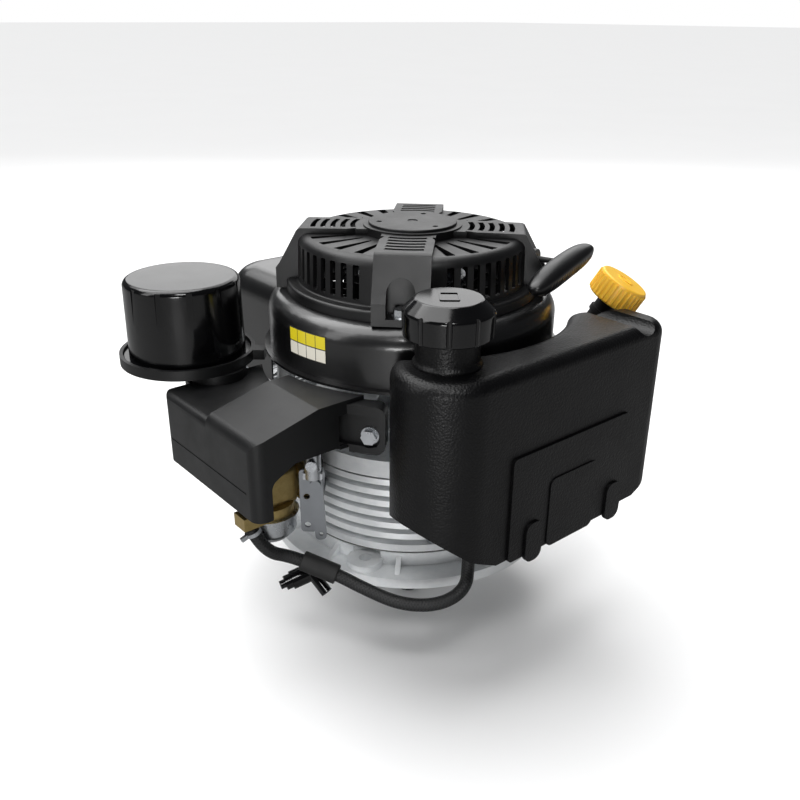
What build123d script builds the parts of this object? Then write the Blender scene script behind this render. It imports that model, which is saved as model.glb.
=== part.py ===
"""Small vertical-shaft gasoline engine, about 180 cc, as an assembly of separate pieces.

Frame: millimetres. The origin is on the crankshaft axis, in the plane of the mounting
flange's underside. +Z points up the crankshaft to the recoil starter, +Y points along
the cylinder to its head, and the fuel tank is on the -Y side.
"""
import os
from math import atan2, cos, degrees, pi, radians, sin, sqrt, tan

from build123d import *

# ---------------------------------------------------------------- driving dimensions
FIT = 0.05               # radial clearance of a running fit
GAP = 0.5                # clearance between pieces that only pass each other
# crankshaft and running gear
OUTPUT_R = 11.11         # 7/8 in output shaft
OUTPUT_LENGTH = 80.0
JOURNAL_R = 12.7
SEAL_R = 12.0            # shaft radius under the lower oil seal
STROKE = 50.0
BORE_R = 34.0
PIN_R = 11.0
WEB_T = 9.0
TEETH_CRANK = 18
TEETH_CAM = 36
GEAR_MODULE = 1.75
GEAR_Z, GEAR_T = 27.0, 8.0
BEARING_T = 17.0
# mounting flange
FLANGE_R = 118.0
FLANGE_T = 9.0
BOLT_CIRCLE_R = 101.6    # 8 in bolt circle
MOUNT_HOLE_R = 4.9
MOUNT_ANGLES = (-150, -30, 90)
# crankcase
CASE_R = 89.0
CASE_WALL = 7.0
RIB_R = 98.0
RIB_T = 4.4
CASE_BOTTOM, CASE_TOP = 20.8, 98.0
TOWER_TOP = 146.0
GASKET_T = 0.8
BORE_Z = 58.0            # height of the cylinder axis
DECK_Y = 138.0
FIN_T, FIN_PITCH = 2.2, 6.4
LINER_T = 3.0
# flywheel and fan
FLYWHEEL_R, FLYWHEEL_Z, FLYWHEEL_T = 86.0, 153.0, 22.0
FAN_BLADES = 20
# blower housing
SHROUD_R = 113.0
SHROUD_Z, SHROUD_TOP = 161.0, 206.0
SHEET = 1.5
# recoil starter
DRUM_R, DRUM_TOP = 88.0, 249.0
SKIRT_R, SKIRT_Z = 98.0, 206.2
ARM_R, ARM_W, ARM_TOP = 104.0, 40.0, 254.0
ARM_ANGLES = (-135, -45, 45, 135)
SHELL = 2.6
PULLEY_R, ROPE_R = 44.0, 2.25
PULLEY_Z, PULLEY_T = 226.0, 12.0
PULL_TRAVEL = 60.0
HANDLE_LENGTH = 95.0
# air intake
FILTER_X, FILTER_Y = -149.0, 97.0
FILTER_R, FILTER_Z, FILTER_TOP = 45.0, 160.0, 218.0
COWL_X, COWL_BACK, COWL_FRONT = -190.0, 62.0, -67.0
COWL_Z, COWL_TOP = 90.0, 148.0
COWL_WALL = 2.5
# fuel tank
TANK_FRONT, TANK_TOP, TANK_BOTTOM = -159.0, 193.0, 50.0
TANK_LEFT_X, TANK_LEFT_Y, TANK_LEFT_R = -70.0, -120.0, 39.0
TANK_RIGHT = 125.0
TANK_WALL = 3.0
TANK_CLEAR_R = 123.0     # the tank's hollow side clears the engine by this radius
NECK_R = 21.5
CAP_R, CAP_Z, CAP_TOP = 30.5, 213.0, 238.0
CAP_GROOVES = 10
# oil filler
FILLER_TOP = (138.0, -102.0, 208.0)
FILLER_LEAN = (0.304, -0.391, 0.869)
FILLER_R = 9.5
OIL_CAP_R, OIL_CAP_H = 21.5, 20.0
DIPSTICK_END = 204.0     # how far below the cap's top the dipstick reaches
# blank label on the blower housing
LABEL_ANGLE, LABEL_LOW, LABEL_H = -172, 175.5, 20.0
# fasteners
M6_R, M8_R = 3.0, 4.0

os.makedirs("parts", exist_ok=True)
pieces = []


# ---------------------------------------------------------------- shared shape helpers
def upright(x, y, z=0.0):
    """A horizontal plane at a point."""
    return Plane(origin=(x, y, z))


def polar(radius, angle):
    """The x and y of a point at a radius and an angle in degrees."""
    return radius * cos(radians(angle)), radius * sin(radians(angle))


def disc(plane, radius, height, mode=Mode.ADD):
    """Add or cut a cylinder that stands on a plane."""
    with BuildSketch(plane) as face:
        Circle(radius)
    extrude(face.sketch, amount=height, mode=mode)


def ring(plane, outer, inner, height, mode=Mode.ADD):
    """Add or cut a flat ring that stands on a plane."""
    with BuildSketch(plane) as face:
        Circle(outer)
        Circle(inner, mode=Mode.SUBTRACT)
    extrude(face.sketch, amount=height, mode=mode)


def prism(plane, outline, height, rounds=0.0, mode=Mode.ADD):
    """Add or cut a straight prism: an outline with rounded corners, extruded."""
    with BuildSketch(plane) as face:
        with BuildLine():
            FilletPolyline(*outline, radius=rounds, close=True)
        make_face()
    extrude(face.sketch, amount=height, mode=mode)


def block(low, high, mode=Mode.ADD):
    """Add or cut a box between two corners."""
    centre = tuple((a + b) / 2 for a, b in zip(low, high))
    size = [b - a for a, b in zip(low, high)]
    with Locations(centre):
        Box(*size, mode=mode)


def turned(outline, x=0.0, y=0.0, rounds=0.0, mode=Mode.ADD):
    """Add or cut a body turned about a vertical line: outline points are (radius, height)."""
    with BuildSketch(Plane(origin=(x, y, 0), x_dir=(1, 0, 0), z_dir=(0, -1, 0))) as half:
        with BuildLine():
            FilletPolyline(*outline, radius=rounds, close=True)
        make_face()
    revolve(half.sketch, axis=Axis((x, y, 0), (0, 0, 1)), mode=mode)


def radial_plane(angle):
    """The vertical plane through the crank axis, with local x pointing outward."""
    outward = (cos(radians(angle)), sin(radians(angle)), 0)
    return Plane(origin=(0, 0, 0), x_dir=outward, z_dir=(outward[1], -outward[0], 0))


def flange_bolt(plane, shank_r, shank_length):
    """Add a hex flange bolt: the plane is the seat, its normal points out of the head."""
    disc(plane, shank_r * 2.15, shank_r * 0.5)
    with BuildSketch(plane.offset(shank_r * 0.5)) as hexagon:
        RegularPolygon(radius=shank_r * 1.65, side_count=6, major_radius=False)
    extrude(hexagon.sketch, amount=shank_r * 1.5)
    disc(plane, shank_r, -shank_length)


def finish(piece, name):
    """Label a finished piece and write its file."""
    piece.part.label = name
    export_step(piece.part, f"parts/{name}.step")
    pieces.append((name, piece.part))


def gear_outline(teeth, module, phase):
    """Involute teeth: points of both flanks of every tooth, thinned for backlash."""
    pitch_r = teeth * module / 2
    base_r = pitch_r * cos(radians(20))
    tip_r, root_r = pitch_r + module * 0.95, pitch_r - module * 1.2
    involute = tan(radians(20)) - radians(20)
    half = pi / (2 * teeth) + involute - 0.12 / pitch_r
    start_r = max(base_r, root_r)
    flank = []
    for step in range(4):
        r = start_r + (tip_r - start_r) * step / 3
        roll = sqrt(max(r * r - base_r * base_r, 0)) / base_r
        flank.append((r, half - (roll - atan2(roll, 1))))
    points = []
    for tooth in range(teeth):
        centre = radians(phase) + 2 * pi * tooth / teeth
        profile = [(root_r, -flank[0][1])] + [(r, -a) for r, a in flank]
        profile += [(r, a) for r, a in reversed(flank)] + [(root_r, flank[0][1])]
        for r, a in profile:
            point = (r * cos(centre + a), r * sin(centre + a))
            if not points or abs(point[0] - points[-1][0]) + abs(point[1] - points[-1][1]) > 1e-3:
                points.append(point)
    return points


# ---------------------------------------------------------------- places that pieces share
CRANK_PITCH_R = TEETH_CRANK * GEAR_MODULE / 2
CAM_X = -(TEETH_CRANK + TEETH_CAM) * GEAR_MODULE / 2
filler_axis = Vector(*FILLER_LEAN).normalized()
filler_top = Vector(*FILLER_TOP)


def filler_plane(depth):
    """The plane across the oil filler at a depth below the top of its cap."""
    return Plane(origin=filler_top - filler_axis * depth, z_dir=filler_axis)


across_bore = Plane(origin=(0, 0, BORE_Z), x_dir=(1, 0, 0), z_dir=(0, 1, 0))
SUMP_SCREWS = [(*polar(93.5, angle), 6.5) for angle in (-120, -60, 0, 50, 130, 180)]
HEAD_STUDS = [(44, 34), (-44, 34), (44, -34), (-44, -34)]
POST_ANGLES = (-100, 20, 150)
POST_R = 102.0
COIL_ANGLE = 75
COWL_IN_R = 120.5
COWL_BOLT_ANGLE = 217
cowl_bolt_seat = Plane(origin=(*polar(128.5, COWL_BOLT_ANGLE), 135), z_dir=(*polar(1, COWL_BOLT_ANGLE), 0))
recoil_seats = [Plane(origin=(*polar(97, angle), SKIRT_Z + 5)) for angle in ARM_ANGLES]

LUG_R, LUG_TOP = 14.0, FLANGE_T + 5

# ---------------------------------------------------------------- sump and crankcase
with BuildPart() as sump:
    disc(Plane.XY, FLANGE_R, FLANGE_T)
    ring(Plane.XY.offset(FLANGE_T), RIB_R + 1, CASE_R - 1, CASE_BOTTOM - GASKET_T - FLANGE_T)
    disc(Plane.XY.offset(FLANGE_T), JOURNAL_R + 10, BEARING_T)
    disc(upright(CAM_X, 0, FLANGE_T), 12, 8)
    for angle in MOUNT_ANGLES:
        disc(upright(*polar(BOLT_CIRCLE_R, angle), 0), LUG_R, LUG_TOP)
    for angle in range(-165, 195, 30):
        with BuildSketch(radial_plane(angle)) as web:
            Polygon((RIB_R - 2, FLANGE_T - 1), (FLANGE_R - 4, FLANGE_T - 1), (RIB_R - 2, 19), align=None)
        extrude(web.sketch, amount=2, both=True)
    for angle in MOUNT_ANGLES:
        disc(upright(*polar(BOLT_CIRCLE_R, angle), -1), MOUNT_HOLE_R, FLANGE_T + 12, Mode.SUBTRACT)
        disc(upright(*polar(BOLT_CIRCLE_R, angle), LUG_TOP), LUG_R - 2, 20, Mode.SUBTRACT)
    disc(Plane.XY.offset(FLANGE_T), JOURNAL_R + 3, 40, Mode.SUBTRACT)
    disc(Plane.XY.offset(-1), JOURNAL_R + 3, 8, Mode.SUBTRACT)
    disc(Plane.XY.offset(-1), JOURNAL_R + 1, 40, Mode.SUBTRACT)
    disc(upright(CAM_X, 0, FLANGE_T), 7 + FIT, 20, Mode.SUBTRACT)
    for x, y, z in SUMP_SCREWS:
        disc(upright(x, y, -1), M6_R * 2.4, 1 + z, Mode.SUBTRACT)
        disc(upright(x, y, 0), M6_R + 0.3, 40, Mode.SUBTRACT)
    fillet(sump.edges().filter_by(GeomType.CIRCLE).group_by(Axis.Z)[0].sort_by(SortBy.RADIUS)[-1], 1.5)
finish(sump, "sump")

with BuildPart() as sump_gasket:
    ring(Plane.XY.offset(CASE_BOTTOM - GASKET_T), RIB_R, CASE_R - 1, GASKET_T)
    for x, y, z in SUMP_SCREWS:
        disc(upright(x, y, 0), M6_R + 0.3, 40, Mode.SUBTRACT)
finish(sump_gasket, "sump_gasket")

with BuildPart() as sump_screws:
    for x, y, z in SUMP_SCREWS:
        seat = Plane(origin=(x, y, z), z_dir=(0, 0, -1))
        disc(seat, M6_R * 1.7, M6_R * 1.7)
        disc(seat, M6_R, -24)
finish(sump_screws, "sump_screws")

with BuildPart() as crankcase:
    height = CASE_TOP - CASE_BOTTOM
    disc(Plane.XY.offset(CASE_BOTTOM), CASE_R, height)
    ring(Plane.XY.offset(CASE_BOTTOM), RIB_R, CASE_R - 1, 6)
    ring(Plane.XY.offset(CASE_TOP - 14), RIB_R - 1, CASE_R - 1, 14)
    for level in range(6):
        with BuildSketch(Plane.XY.offset(CASE_BOTTOM + 11 + level * 9.3)) as rib:
            Circle(RIB_R)
            with Locations((0, 110)):
                Rectangle(300, 200, mode=Mode.SUBTRACT)
            Circle(CASE_R - 1, mode=Mode.SUBTRACT)
        extrude(rib.sketch, amount=RIB_T, taper=12)
    turned([(0, CASE_TOP - 1), (44, CASE_TOP - 1), (44, CASE_TOP + 6), (26, CASE_TOP + 14),
            (24, TOWER_TOP), (0, TOWER_TOP)], rounds=[0, 0, 3, 8, 1, 0])
    for angle in POST_ANGLES:
        disc(upright(*polar(POST_R, angle), CASE_TOP - 14), 7, SHROUD_Z - 0.2 - CASE_TOP + 14)
    for angle in (COIL_ANGLE - 11, COIL_ANGLE + 11):
        disc(upright(*polar(104, angle), BORE_Z), 4.5, FLYWHEEL_Z + 0.9 - BORE_Z)
    with BuildSketch(radial_plane(COWL_BOLT_ANGLE)) as cowl_arm:
        Polygon((20, 128), (COWL_IN_R - 1, 128), (COWL_IN_R - 1, 142), (20, 142), align=None)
    extrude(cowl_arm.sketch, amount=7, both=True)
    disc(across_bore.offset(50), BORE_R + LINER_T + 8, DECK_Y - 50)
    for count in range(5):
        with BuildSketch(across_bore.offset(DECK_Y - 37 + count * FIN_PITCH)) as fin:
            RectangleRounded(124, 84, 12)
        extrude(fin.sketch, amount=FIN_T)
    with BuildSketch(across_bore.offset(DECK_Y - 7)) as deck:
        RectangleRounded(116, 90, 14)
    extrude(deck.sketch, amount=7)
    disc(filler_plane(182), FILLER_R + 6, 32)
    block((-60, 40, 0), (60, RIB_R + 2.5, CASE_BOTTOM), Mode.SUBTRACT)
    block((-LUG_R - 2, 40, 0), (LUG_R + 2, BOLT_CIRCLE_R + LUG_R + 2, LUG_TOP + 0.4), Mode.SUBTRACT)
    # hollow: crank chamber, bore, bearing seat, cam seat, filler and bolt holes
    disc(Plane.XY.offset(CASE_BOTTOM - 1), CASE_R - CASE_WALL, height - 6, Mode.SUBTRACT)
    disc(across_bore.offset(40), BORE_R + LINER_T, DECK_Y, Mode.SUBTRACT)
    disc(Plane.XY.offset(CASE_TOP - 10), JOURNAL_R + 1, 80, Mode.SUBTRACT)
    disc(Plane.XY.offset(CASE_TOP - 10), JOURNAL_R + 3, BEARING_T + 10, Mode.SUBTRACT)
    disc(Plane.XY.offset(TOWER_TOP - 8), JOURNAL_R + 3, 20, Mode.SUBTRACT)
    disc(upright(CAM_X, 0, CASE_TOP - 12), 7 + FIT, 9, Mode.SUBTRACT)
    disc(filler_plane(176), FILLER_R + FIT, 90, Mode.SUBTRACT)
    disc(filler_plane(150), FILLER_R + 3.2, 8, Mode.SUBTRACT)
    disc(filler_plane(210), FILLER_R - 2, 50, Mode.SUBTRACT)
    for x, y, z in SUMP_SCREWS:
        disc(upright(x, y, 0), M6_R + FIT, 36, Mode.SUBTRACT)
    for angle in POST_ANGLES:
        disc(upright(*polar(POST_R, angle), SHROUD_Z - 16), M6_R + FIT, 30, Mode.SUBTRACT)
    disc(cowl_bolt_seat.offset(-40), M6_R + FIT, 60, Mode.SUBTRACT)
    for x, z in HEAD_STUDS:
        disc(Plane(origin=(x, DECK_Y - 20, BORE_Z + z), z_dir=(0, 1, 0)), M8_R + FIT, 30, Mode.SUBTRACT)
finish(crankcase, "crankcase")

with BuildPart() as cylinder_liner:
    ring(across_bore.offset(52), BORE_R + LINER_T, BORE_R, DECK_Y - 52)
    block((-90, 0, BORE_Z - 60), (90, 60, BORE_Z - 40), Mode.SUBTRACT)
finish(cylinder_liner, "cylinder_liner")

with BuildPart() as main_bushes:
    ring(Plane.XY.offset(FLANGE_T), JOURNAL_R + 3, JOURNAL_R + FIT, BEARING_T)
    ring(Plane.XY.offset(CASE_TOP), JOURNAL_R + 3, JOURNAL_R + FIT, BEARING_T)
finish(main_bushes, "main_bushes")

with BuildPart() as oil_seals:
    ring(Plane.XY, JOURNAL_R + 3, SEAL_R + FIT, 6.5)
    ring(Plane.XY.offset(TOWER_TOP - 7.5), JOURNAL_R + 3, JOURNAL_R + FIT, 7)
finish(oil_seals, "oil_seals")

# ---------------------------------------------------------------- crankshaft and camshaft
THROW = STROKE / 2
web_low = BORE_Z - WEB_T - 9
web_high = BORE_Z + 9
with BuildPart() as crankshaft:
    disc(Plane.XY.offset(-OUTPUT_LENGTH), OUTPUT_R, OUTPUT_LENGTH)
    disc(Plane.XY.offset(-1), SEAL_R, 9)
    chamfer(crankshaft.edges().group_by(Axis.Z)[0], 1)
    disc(Plane.XY.offset(8), JOURNAL_R, GEAR_Z - 8.5)
    disc(Plane.XY.offset(GEAR_Z - 1), JOURNAL_R - 1, GEAR_T + 1.5)
    disc(Plane.XY.offset(GEAR_Z + GEAR_T + 0.3), JOURNAL_R, web_low - GEAR_Z - GEAR_T)
    for bottom in (web_low, web_high):
        with BuildSketch(Plane.XY.offset(bottom)) as web:
            Circle(36)
            with Locations((0, 50)):
                Rectangle(100, 100, mode=Mode.SUBTRACT)
            Circle(18)
            with Locations((0, THROW / 2)):
                Rectangle(28, THROW, mode=Mode.ADD)
            with Locations((0, THROW - 3)):
                Circle(14)
        extrude(web.sketch, amount=WEB_T)
    disc(upright(0, THROW, web_low + WEB_T - 1), PIN_R, 20)
    disc(Plane.XY.offset(web_high + WEB_T), JOURNAL_R, TOWER_TOP + 3 - web_high - WEB_T)
    turned([(0, TOWER_TOP), (JOURNAL_R, TOWER_TOP), (JOURNAL_R, TOWER_TOP + 5), (9.5, 182), (0, 182)])
    disc(Plane.XY.offset(181), 7, 20)
    block((OUTPUT_R - 2.2, -2.4, -OUTPUT_LENGTH - 1), (OUTPUT_R + 2, 2.4, -OUTPUT_LENGTH + 45), Mode.SUBTRACT)
    disc(Plane.XY.offset(-OUTPUT_LENGTH - 1), 3.4, 26, Mode.SUBTRACT)
finish(crankshaft, "crankshaft")

with BuildPart() as crank_gear:
    with BuildSketch(Plane.XY.offset(GEAR_Z)) as teeth:
        Polygon(*gear_outline(TEETH_CRANK, GEAR_MODULE, 180), align=None)
        Circle(JOURNAL_R - 1, mode=Mode.SUBTRACT)
    extrude(teeth.sketch, amount=GEAR_T)
finish(crank_gear, "crank_gear")

with BuildPart() as camshaft:
    disc(upright(CAM_X, 0, FLANGE_T + 0.4), 7, CASE_TOP - 12.5 + 8.5 - FLANGE_T)
    with BuildSketch(upright(CAM_X, 0, GEAR_Z)) as teeth:
        Polygon(*gear_outline(TEETH_CAM, GEAR_MODULE, 180 / TEETH_CAM), align=None)
    extrude(teeth.sketch, amount=GEAR_T)
    for bottom, angle in ((78.5, 20), (84.5, 130)):
        with BuildSketch(upright(CAM_X, 0, bottom)) as lobe:
            Circle(9.5)
            with Locations(Location((4.5 * cos(radians(angle)), 4.5 * sin(radians(angle)), 0))):
                Circle(7.5)
        extrude(lobe.sketch, amount=4.5)
finish(camshaft, "camshaft")

# ---------------------------------------------------------------- piston and rod
PIN_Y = DECK_Y - 28      # piston pin at the top of the stroke
ROD_OPEN_Y = 68.0        # big end, opened clear of the circle that the crank pin sweeps
with BuildPart() as piston:
    disc(across_bore.offset(PIN_Y - 18), BORE_R - FIT, 18 + 27)
    disc(across_bore.offset(PIN_Y - 19), BORE_R - 5, 19 + 21, Mode.SUBTRACT)
    for count in range(3):
        ring(across_bore.offset(PIN_Y + 13 + count * 4.4), BORE_R + 1, BORE_R - 3, 1.8, Mode.SUBTRACT)
    with BuildSketch(Plane(origin=(0, PIN_Y, BORE_Z), z_dir=(0, 0, 1))) as boss:
        Circle(11)
    extrude(boss.sketch, amount=BORE_R - 2, both=True)
    block((-12, PIN_Y - 12, BORE_Z - 11), (12, PIN_Y + 12, BORE_Z + 11), Mode.SUBTRACT)
    disc(upright(0, PIN_Y, BORE_Z - BORE_R - 5), 7.5 + FIT, 2 * BORE_R + 10, Mode.SUBTRACT)
finish(piston, "piston")

with BuildPart() as piston_rings:
    for count in range(3):
        ring(across_bore.offset(PIN_Y + 13.1 + count * 4.4), BORE_R - FIT / 2, BORE_R - 2.9, 1.6)
finish(piston_rings, "piston_rings")

with BuildPart() as piston_pin:
    ring(upright(0, PIN_Y, BORE_Z - BORE_R + 4), 7.5, 4.5, 2 * BORE_R - 8)
finish(piston_pin, "piston_pin")

with BuildPart() as connecting_rod:
    disc(upright(0, PIN_Y, BORE_Z - 9), 11, 18)
    disc(upright(0, ROD_OPEN_Y, BORE_Z - 8), 17, 16)
    block((-5, ROD_OPEN_Y, BORE_Z - 7), (5, PIN_Y, BORE_Z + 7))
    disc(upright(0, PIN_Y, BORE_Z - 20), 7.5 + FIT, 40, Mode.SUBTRACT)
    disc(upright(0, ROD_OPEN_Y, BORE_Z - 20), PIN_R + FIT, 40, Mode.SUBTRACT)
finish(connecting_rod, "connecting_rod")

# ---------------------------------------------------------------- cylinder head and plug
HEAD_T = 34.0
with BuildPart() as head_gasket:
    with BuildSketch(across_bore.offset(DECK_Y)) as sheet:
        RectangleRounded(112, 86, 14)
        Circle(BORE_R + 1, mode=Mode.SUBTRACT)
        with Locations(HEAD_STUDS):
            Circle(M8_R + 0.4, mode=Mode.SUBTRACT)
    extrude(sheet.sketch, amount=1.2)
finish(head_gasket, "head_gasket")

head_y = DECK_Y + 1.2
PORT_X, PORT_Y, PORT_Z = 58.0, head_y + 18, BORE_Z + 12
plug_plane = Plane(origin=(0, head_y + 8, BORE_Z - 20), z_dir=(0, 0.75, -0.66))
with BuildPart() as cylinder_head:
    with BuildSketch(across_bore.offset(head_y)) as plate:
        RectangleRounded(116, 90, 14)
    extrude(plate.sketch, amount=HEAD_T)
    for count in range(3):
        with BuildSketch(across_bore.offset(head_y + 10 + count * 8)) as fin:
            RectangleRounded(136, 104, 12)
        extrude(fin.sketch, amount=FIN_T)
    for side in (-1, 1):
        port = Plane(origin=(0, PORT_Y, PORT_Z), z_dir=(side, 0, 0))
        disc(port, 16, PORT_X + 14)
        disc(port.offset(25), 11, PORT_X, Mode.SUBTRACT)
    for x, z in HEAD_STUDS:
        disc(Plane(origin=(x, head_y - 1, BORE_Z + z), z_dir=(0, 1, 0)), M8_R + 0.4, 60, Mode.SUBTRACT)
        disc(Plane(origin=(x, head_y + 16, BORE_Z + z), z_dir=(0, 1, 0)), 10, 60, Mode.SUBTRACT)
    disc(across_bore.offset(head_y - 1), BORE_R - 2, 7, Mode.SUBTRACT)
    disc(plug_plane.offset(14), 11, 60, Mode.SUBTRACT)
    disc(plug_plane.offset(-2), 6.1, 40, Mode.SUBTRACT)
finish(cylinder_head, "cylinder_head")

with BuildPart() as head_bolts:
    for x, z in HEAD_STUDS:
        seat = Plane(origin=(x, head_y + 16, BORE_Z + z), z_dir=(0, 1, 0))
        flange_bolt(seat, M8_R, 34)
finish(head_bolts, "head_bolts")

with BuildPart() as valve_cover:
    with BuildSketch(across_bore.offset(head_y + HEAD_T)) as rim:
        RectangleRounded(66, 66, 10)
    extrude(rim.sketch, amount=3)
    with BuildSketch(across_bore.offset(head_y + HEAD_T)) as dome:
        RectangleRounded(58, 58, 12)
    extrude(dome.sketch, amount=20)
    fillet(valve_cover.faces().sort_by(Axis.Y)[-1].edges(), 6)
    with BuildSketch(across_bore.offset(head_y + HEAD_T - 0.01)) as hollow:
        RectangleRounded(52, 52, 9)
    extrude(hollow.sketch, amount=17, mode=Mode.SUBTRACT)
finish(valve_cover, "valve_cover")

with BuildPart() as spark_plug:
    disc(plug_plane, 6, 14.5)
    with BuildSketch(plug_plane.offset(14.2)) as hexagon:
        RegularPolygon(radius=9, side_count=6)
    extrude(hexagon.sketch, amount=9)
    disc(plug_plane.offset(23), 6, 18)
    disc(plug_plane.offset(40), 3, 7)
finish(spark_plug, "spark_plug")

# ---------------------------------------------------------------- muffler
with BuildPart() as muffler:
    with BuildSketch(Plane(origin=(PORT_X + 14, 0, 0), z_dir=(1, 0, 0), x_dir=(0, 1, 0))) as neck:
        with Locations((PORT_Y, PORT_Z)):
            Circle(20)
            Circle(11, mode=Mode.SUBTRACT)
    extrude(neck.sketch, amount=14)
    block((PORT_X + 26, 96, 46), (PORT_X + 76, 196, 108))
    fillet(muffler.edges().filter_by(Axis.X), 14)
    disc(Plane(origin=(PORT_X + 50, 120, 60), z_dir=(0, 0, -1)), 9, 26)
    disc(Plane(origin=(PORT_X + 50, 120, 60), z_dir=(0, 0, -1)), 7, 28, Mode.SUBTRACT)
finish(muffler, "muffler")

with BuildPart() as muffler_guard:
    block((PORT_X + 76.3, 90, 48), (PORT_X + 79, 200, 106))
    with Locations(Plane(origin=(PORT_X + 76, 145, 77), z_dir=(1, 0, 0), x_dir=(0, 1, 0))):
        with GridLocations(18, 15, 5, 3):
            Box(12, 6, 10, mode=Mode.SUBTRACT)
    fillet(muffler_guard.edges().filter_by(Axis.X).sort_by(Axis.Y)[:2], 5)
finish(muffler_guard, "muffler_guard")

# ---------------------------------------------------------------- flywheel and its fan
with BuildPart() as flywheel:
    turned([(9.7, FLYWHEEL_Z), (30, FLYWHEEL_Z), (34, FLYWHEEL_Z + 8), (FLYWHEEL_R - 16, FLYWHEEL_Z + 8),
            (FLYWHEEL_R - 14, FLYWHEEL_Z), (FLYWHEEL_R, FLYWHEEL_Z), (FLYWHEEL_R, FLYWHEEL_Z + FLYWHEEL_T),
            (30, FLYWHEEL_Z + FLYWHEEL_T), (26, 182), (9.7, 182)])
    with BuildSketch(Plane.XZ) as taper_seat:
        Polygon((0, TOWER_TOP + 5), (JOURNAL_R + FIT, TOWER_TOP + 5), (9.5 + FIT, 182), (9.5 + FIT, 183),
                (0, 183), align=None)
    revolve(taper_seat.sketch, axis=Axis.Z, mode=Mode.SUBTRACT)
finish(flywheel, "flywheel")

fan_z = FLYWHEEL_Z + FLYWHEEL_T
with BuildPart() as cooling_fan:
    ring(Plane.XY.offset(fan_z), FLYWHEEL_R, 32, 3)
    for count in range(FAN_BLADES):
        turn = 360 / FAN_BLADES * count
        with BuildSketch(Plane.XY.offset(fan_z + 2)) as blade:
            with PolarLocations(68, 1, start_angle=turn):
                with Locations(Location((0, 0, 0), (0, 0, 18))):
                    Rectangle(32, 2.4)
        extrude(blade.sketch, amount=20)
finish(cooling_fan, "cooling_fan")

with BuildPart() as starter_cup:
    turned([(7.3, 182.2), (38, 182.2), (40, 214), (42, 214), (42, 216), (38.4, 216), (36.2, 184.2),
            (7.3, 184.2)])
    for angle in range(0, 360, 60):
        disc(upright(*polar(24, angle), 180), 5, 8, Mode.SUBTRACT)
finish(starter_cup, "starter_cup")

with BuildPart() as flywheel_nut:
    with BuildSketch(Plane.XY.offset(184.4)) as hexagon:
        RegularPolygon(radius=13, side_count=6)
        Circle(7 + FIT, mode=Mode.SUBTRACT)
    extrude(hexagon.sketch, amount=12)
finish(flywheel_nut, "flywheel_nut")

with BuildPart() as ignition_coil:
    coil = Plane(origin=(*polar(FLYWHEEL_R + 0.6, COIL_ANGLE), FLYWHEEL_Z + 11),
                 z_dir=(*polar(1, COIL_ANGLE), 0), x_dir=(*polar(1, COIL_ANGLE + 90), 0))
    for side in (-1, 1):
        with BuildSketch(coil.offset(1.2)) as leg:
            with Locations((side * 18, 0)):
                Rectangle(8, 12)
        extrude(leg.sketch, amount=20)
    with BuildSketch(coil.offset(12)) as body:
        RectangleRounded(48, 20, 4)
    extrude(body.sketch, amount=20)
finish(ignition_coil, "ignition_coil")

# ---------------------------------------------------------------- blower housing
LOBE_W, LOBE_Y, LOBE_TOP = 150.0, 176.0, 200.0
INLET_R = 72.0


def shroud_form(inset):
    """The blower housing's outer form, or its hollow when inset by the sheet's thickness."""
    floor = SHROUD_Z - (1 if inset else 0)
    side, crown = SHROUD_R - inset, SHROUD_TOP - inset
    with BuildPart() as form:
        with BuildSketch(Plane.XY.offset(floor)):
            with Locations((0, (LOBE_Y - inset) / 2)):
                RectangleRounded(LOBE_W - 2 * inset, LOBE_Y - inset, 34)
        extrude(amount=LOBE_TOP - inset - floor)
        fillet(form.edges().group_by(Axis.Z)[-1], 22 - inset)
        turned([(0, floor), (side, floor), (side, crown), (0, crown)], rounds=[0, 0, 15 - inset, 0])
    return form.part


shroud_outside = shroud_form(0)
shroud_inside = shroud_form(SHEET)
with BuildPart() as blower_housing:
    add(shroud_outside)
    block((-LOBE_W / 2, 88, 112), (LOBE_W / 2, LOBE_Y - 20, SHROUD_Z + 6))
    add(shroud_inside, mode=Mode.SUBTRACT)
    block((-LOBE_W / 2 + SHEET, 80, 100), (LOBE_W / 2 - SHEET, LOBE_Y - 20 - SHEET, SHROUD_Z + 8),
          Mode.SUBTRACT)
    block((-80, -80, 110), (80, 95, SHROUD_Z - 0.01), Mode.SUBTRACT)
    block((-LOBE_W / 2 - 1, 150 - 2, 108), (LOBE_W / 2 + 1, 200, SHROUD_Z - 22), Mode.SUBTRACT)
    with BuildSketch(Plane.XY.offset(SHROUD_Z)) as flange:
        Circle(SHROUD_R + 4.5)
        Circle(SHROUD_R - SHEET, mode=Mode.SUBTRACT)
        with Locations((0, 150)):
            Rectangle(LOBE_W - 2 * SHEET, 190, mode=Mode.SUBTRACT)
    extrude(flange.sketch, amount=2)
    for angle in POST_ANGLES:
        with BuildSketch(Plane.XY.offset(SHROUD_Z)) as tab:
            with Locations(Location((*polar(POST_R + 2, angle), 0), (0, 0, angle))):
                RectangleRounded(20, 18, 3)
        extrude(tab.sketch, amount=SHEET)
        disc(upright(*polar(POST_R, angle), SHROUD_Z - 10), M6_R + 0.4, 30, Mode.SUBTRACT)
    disc(Plane.XY.offset(SHROUD_TOP - 10), INLET_R, 20, Mode.SUBTRACT)
    for seat in recoil_seats:
        disc(seat.offset(-14), M6_R + 0.4, 20, Mode.SUBTRACT)
finish(blower_housing, "blower_housing")

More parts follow.
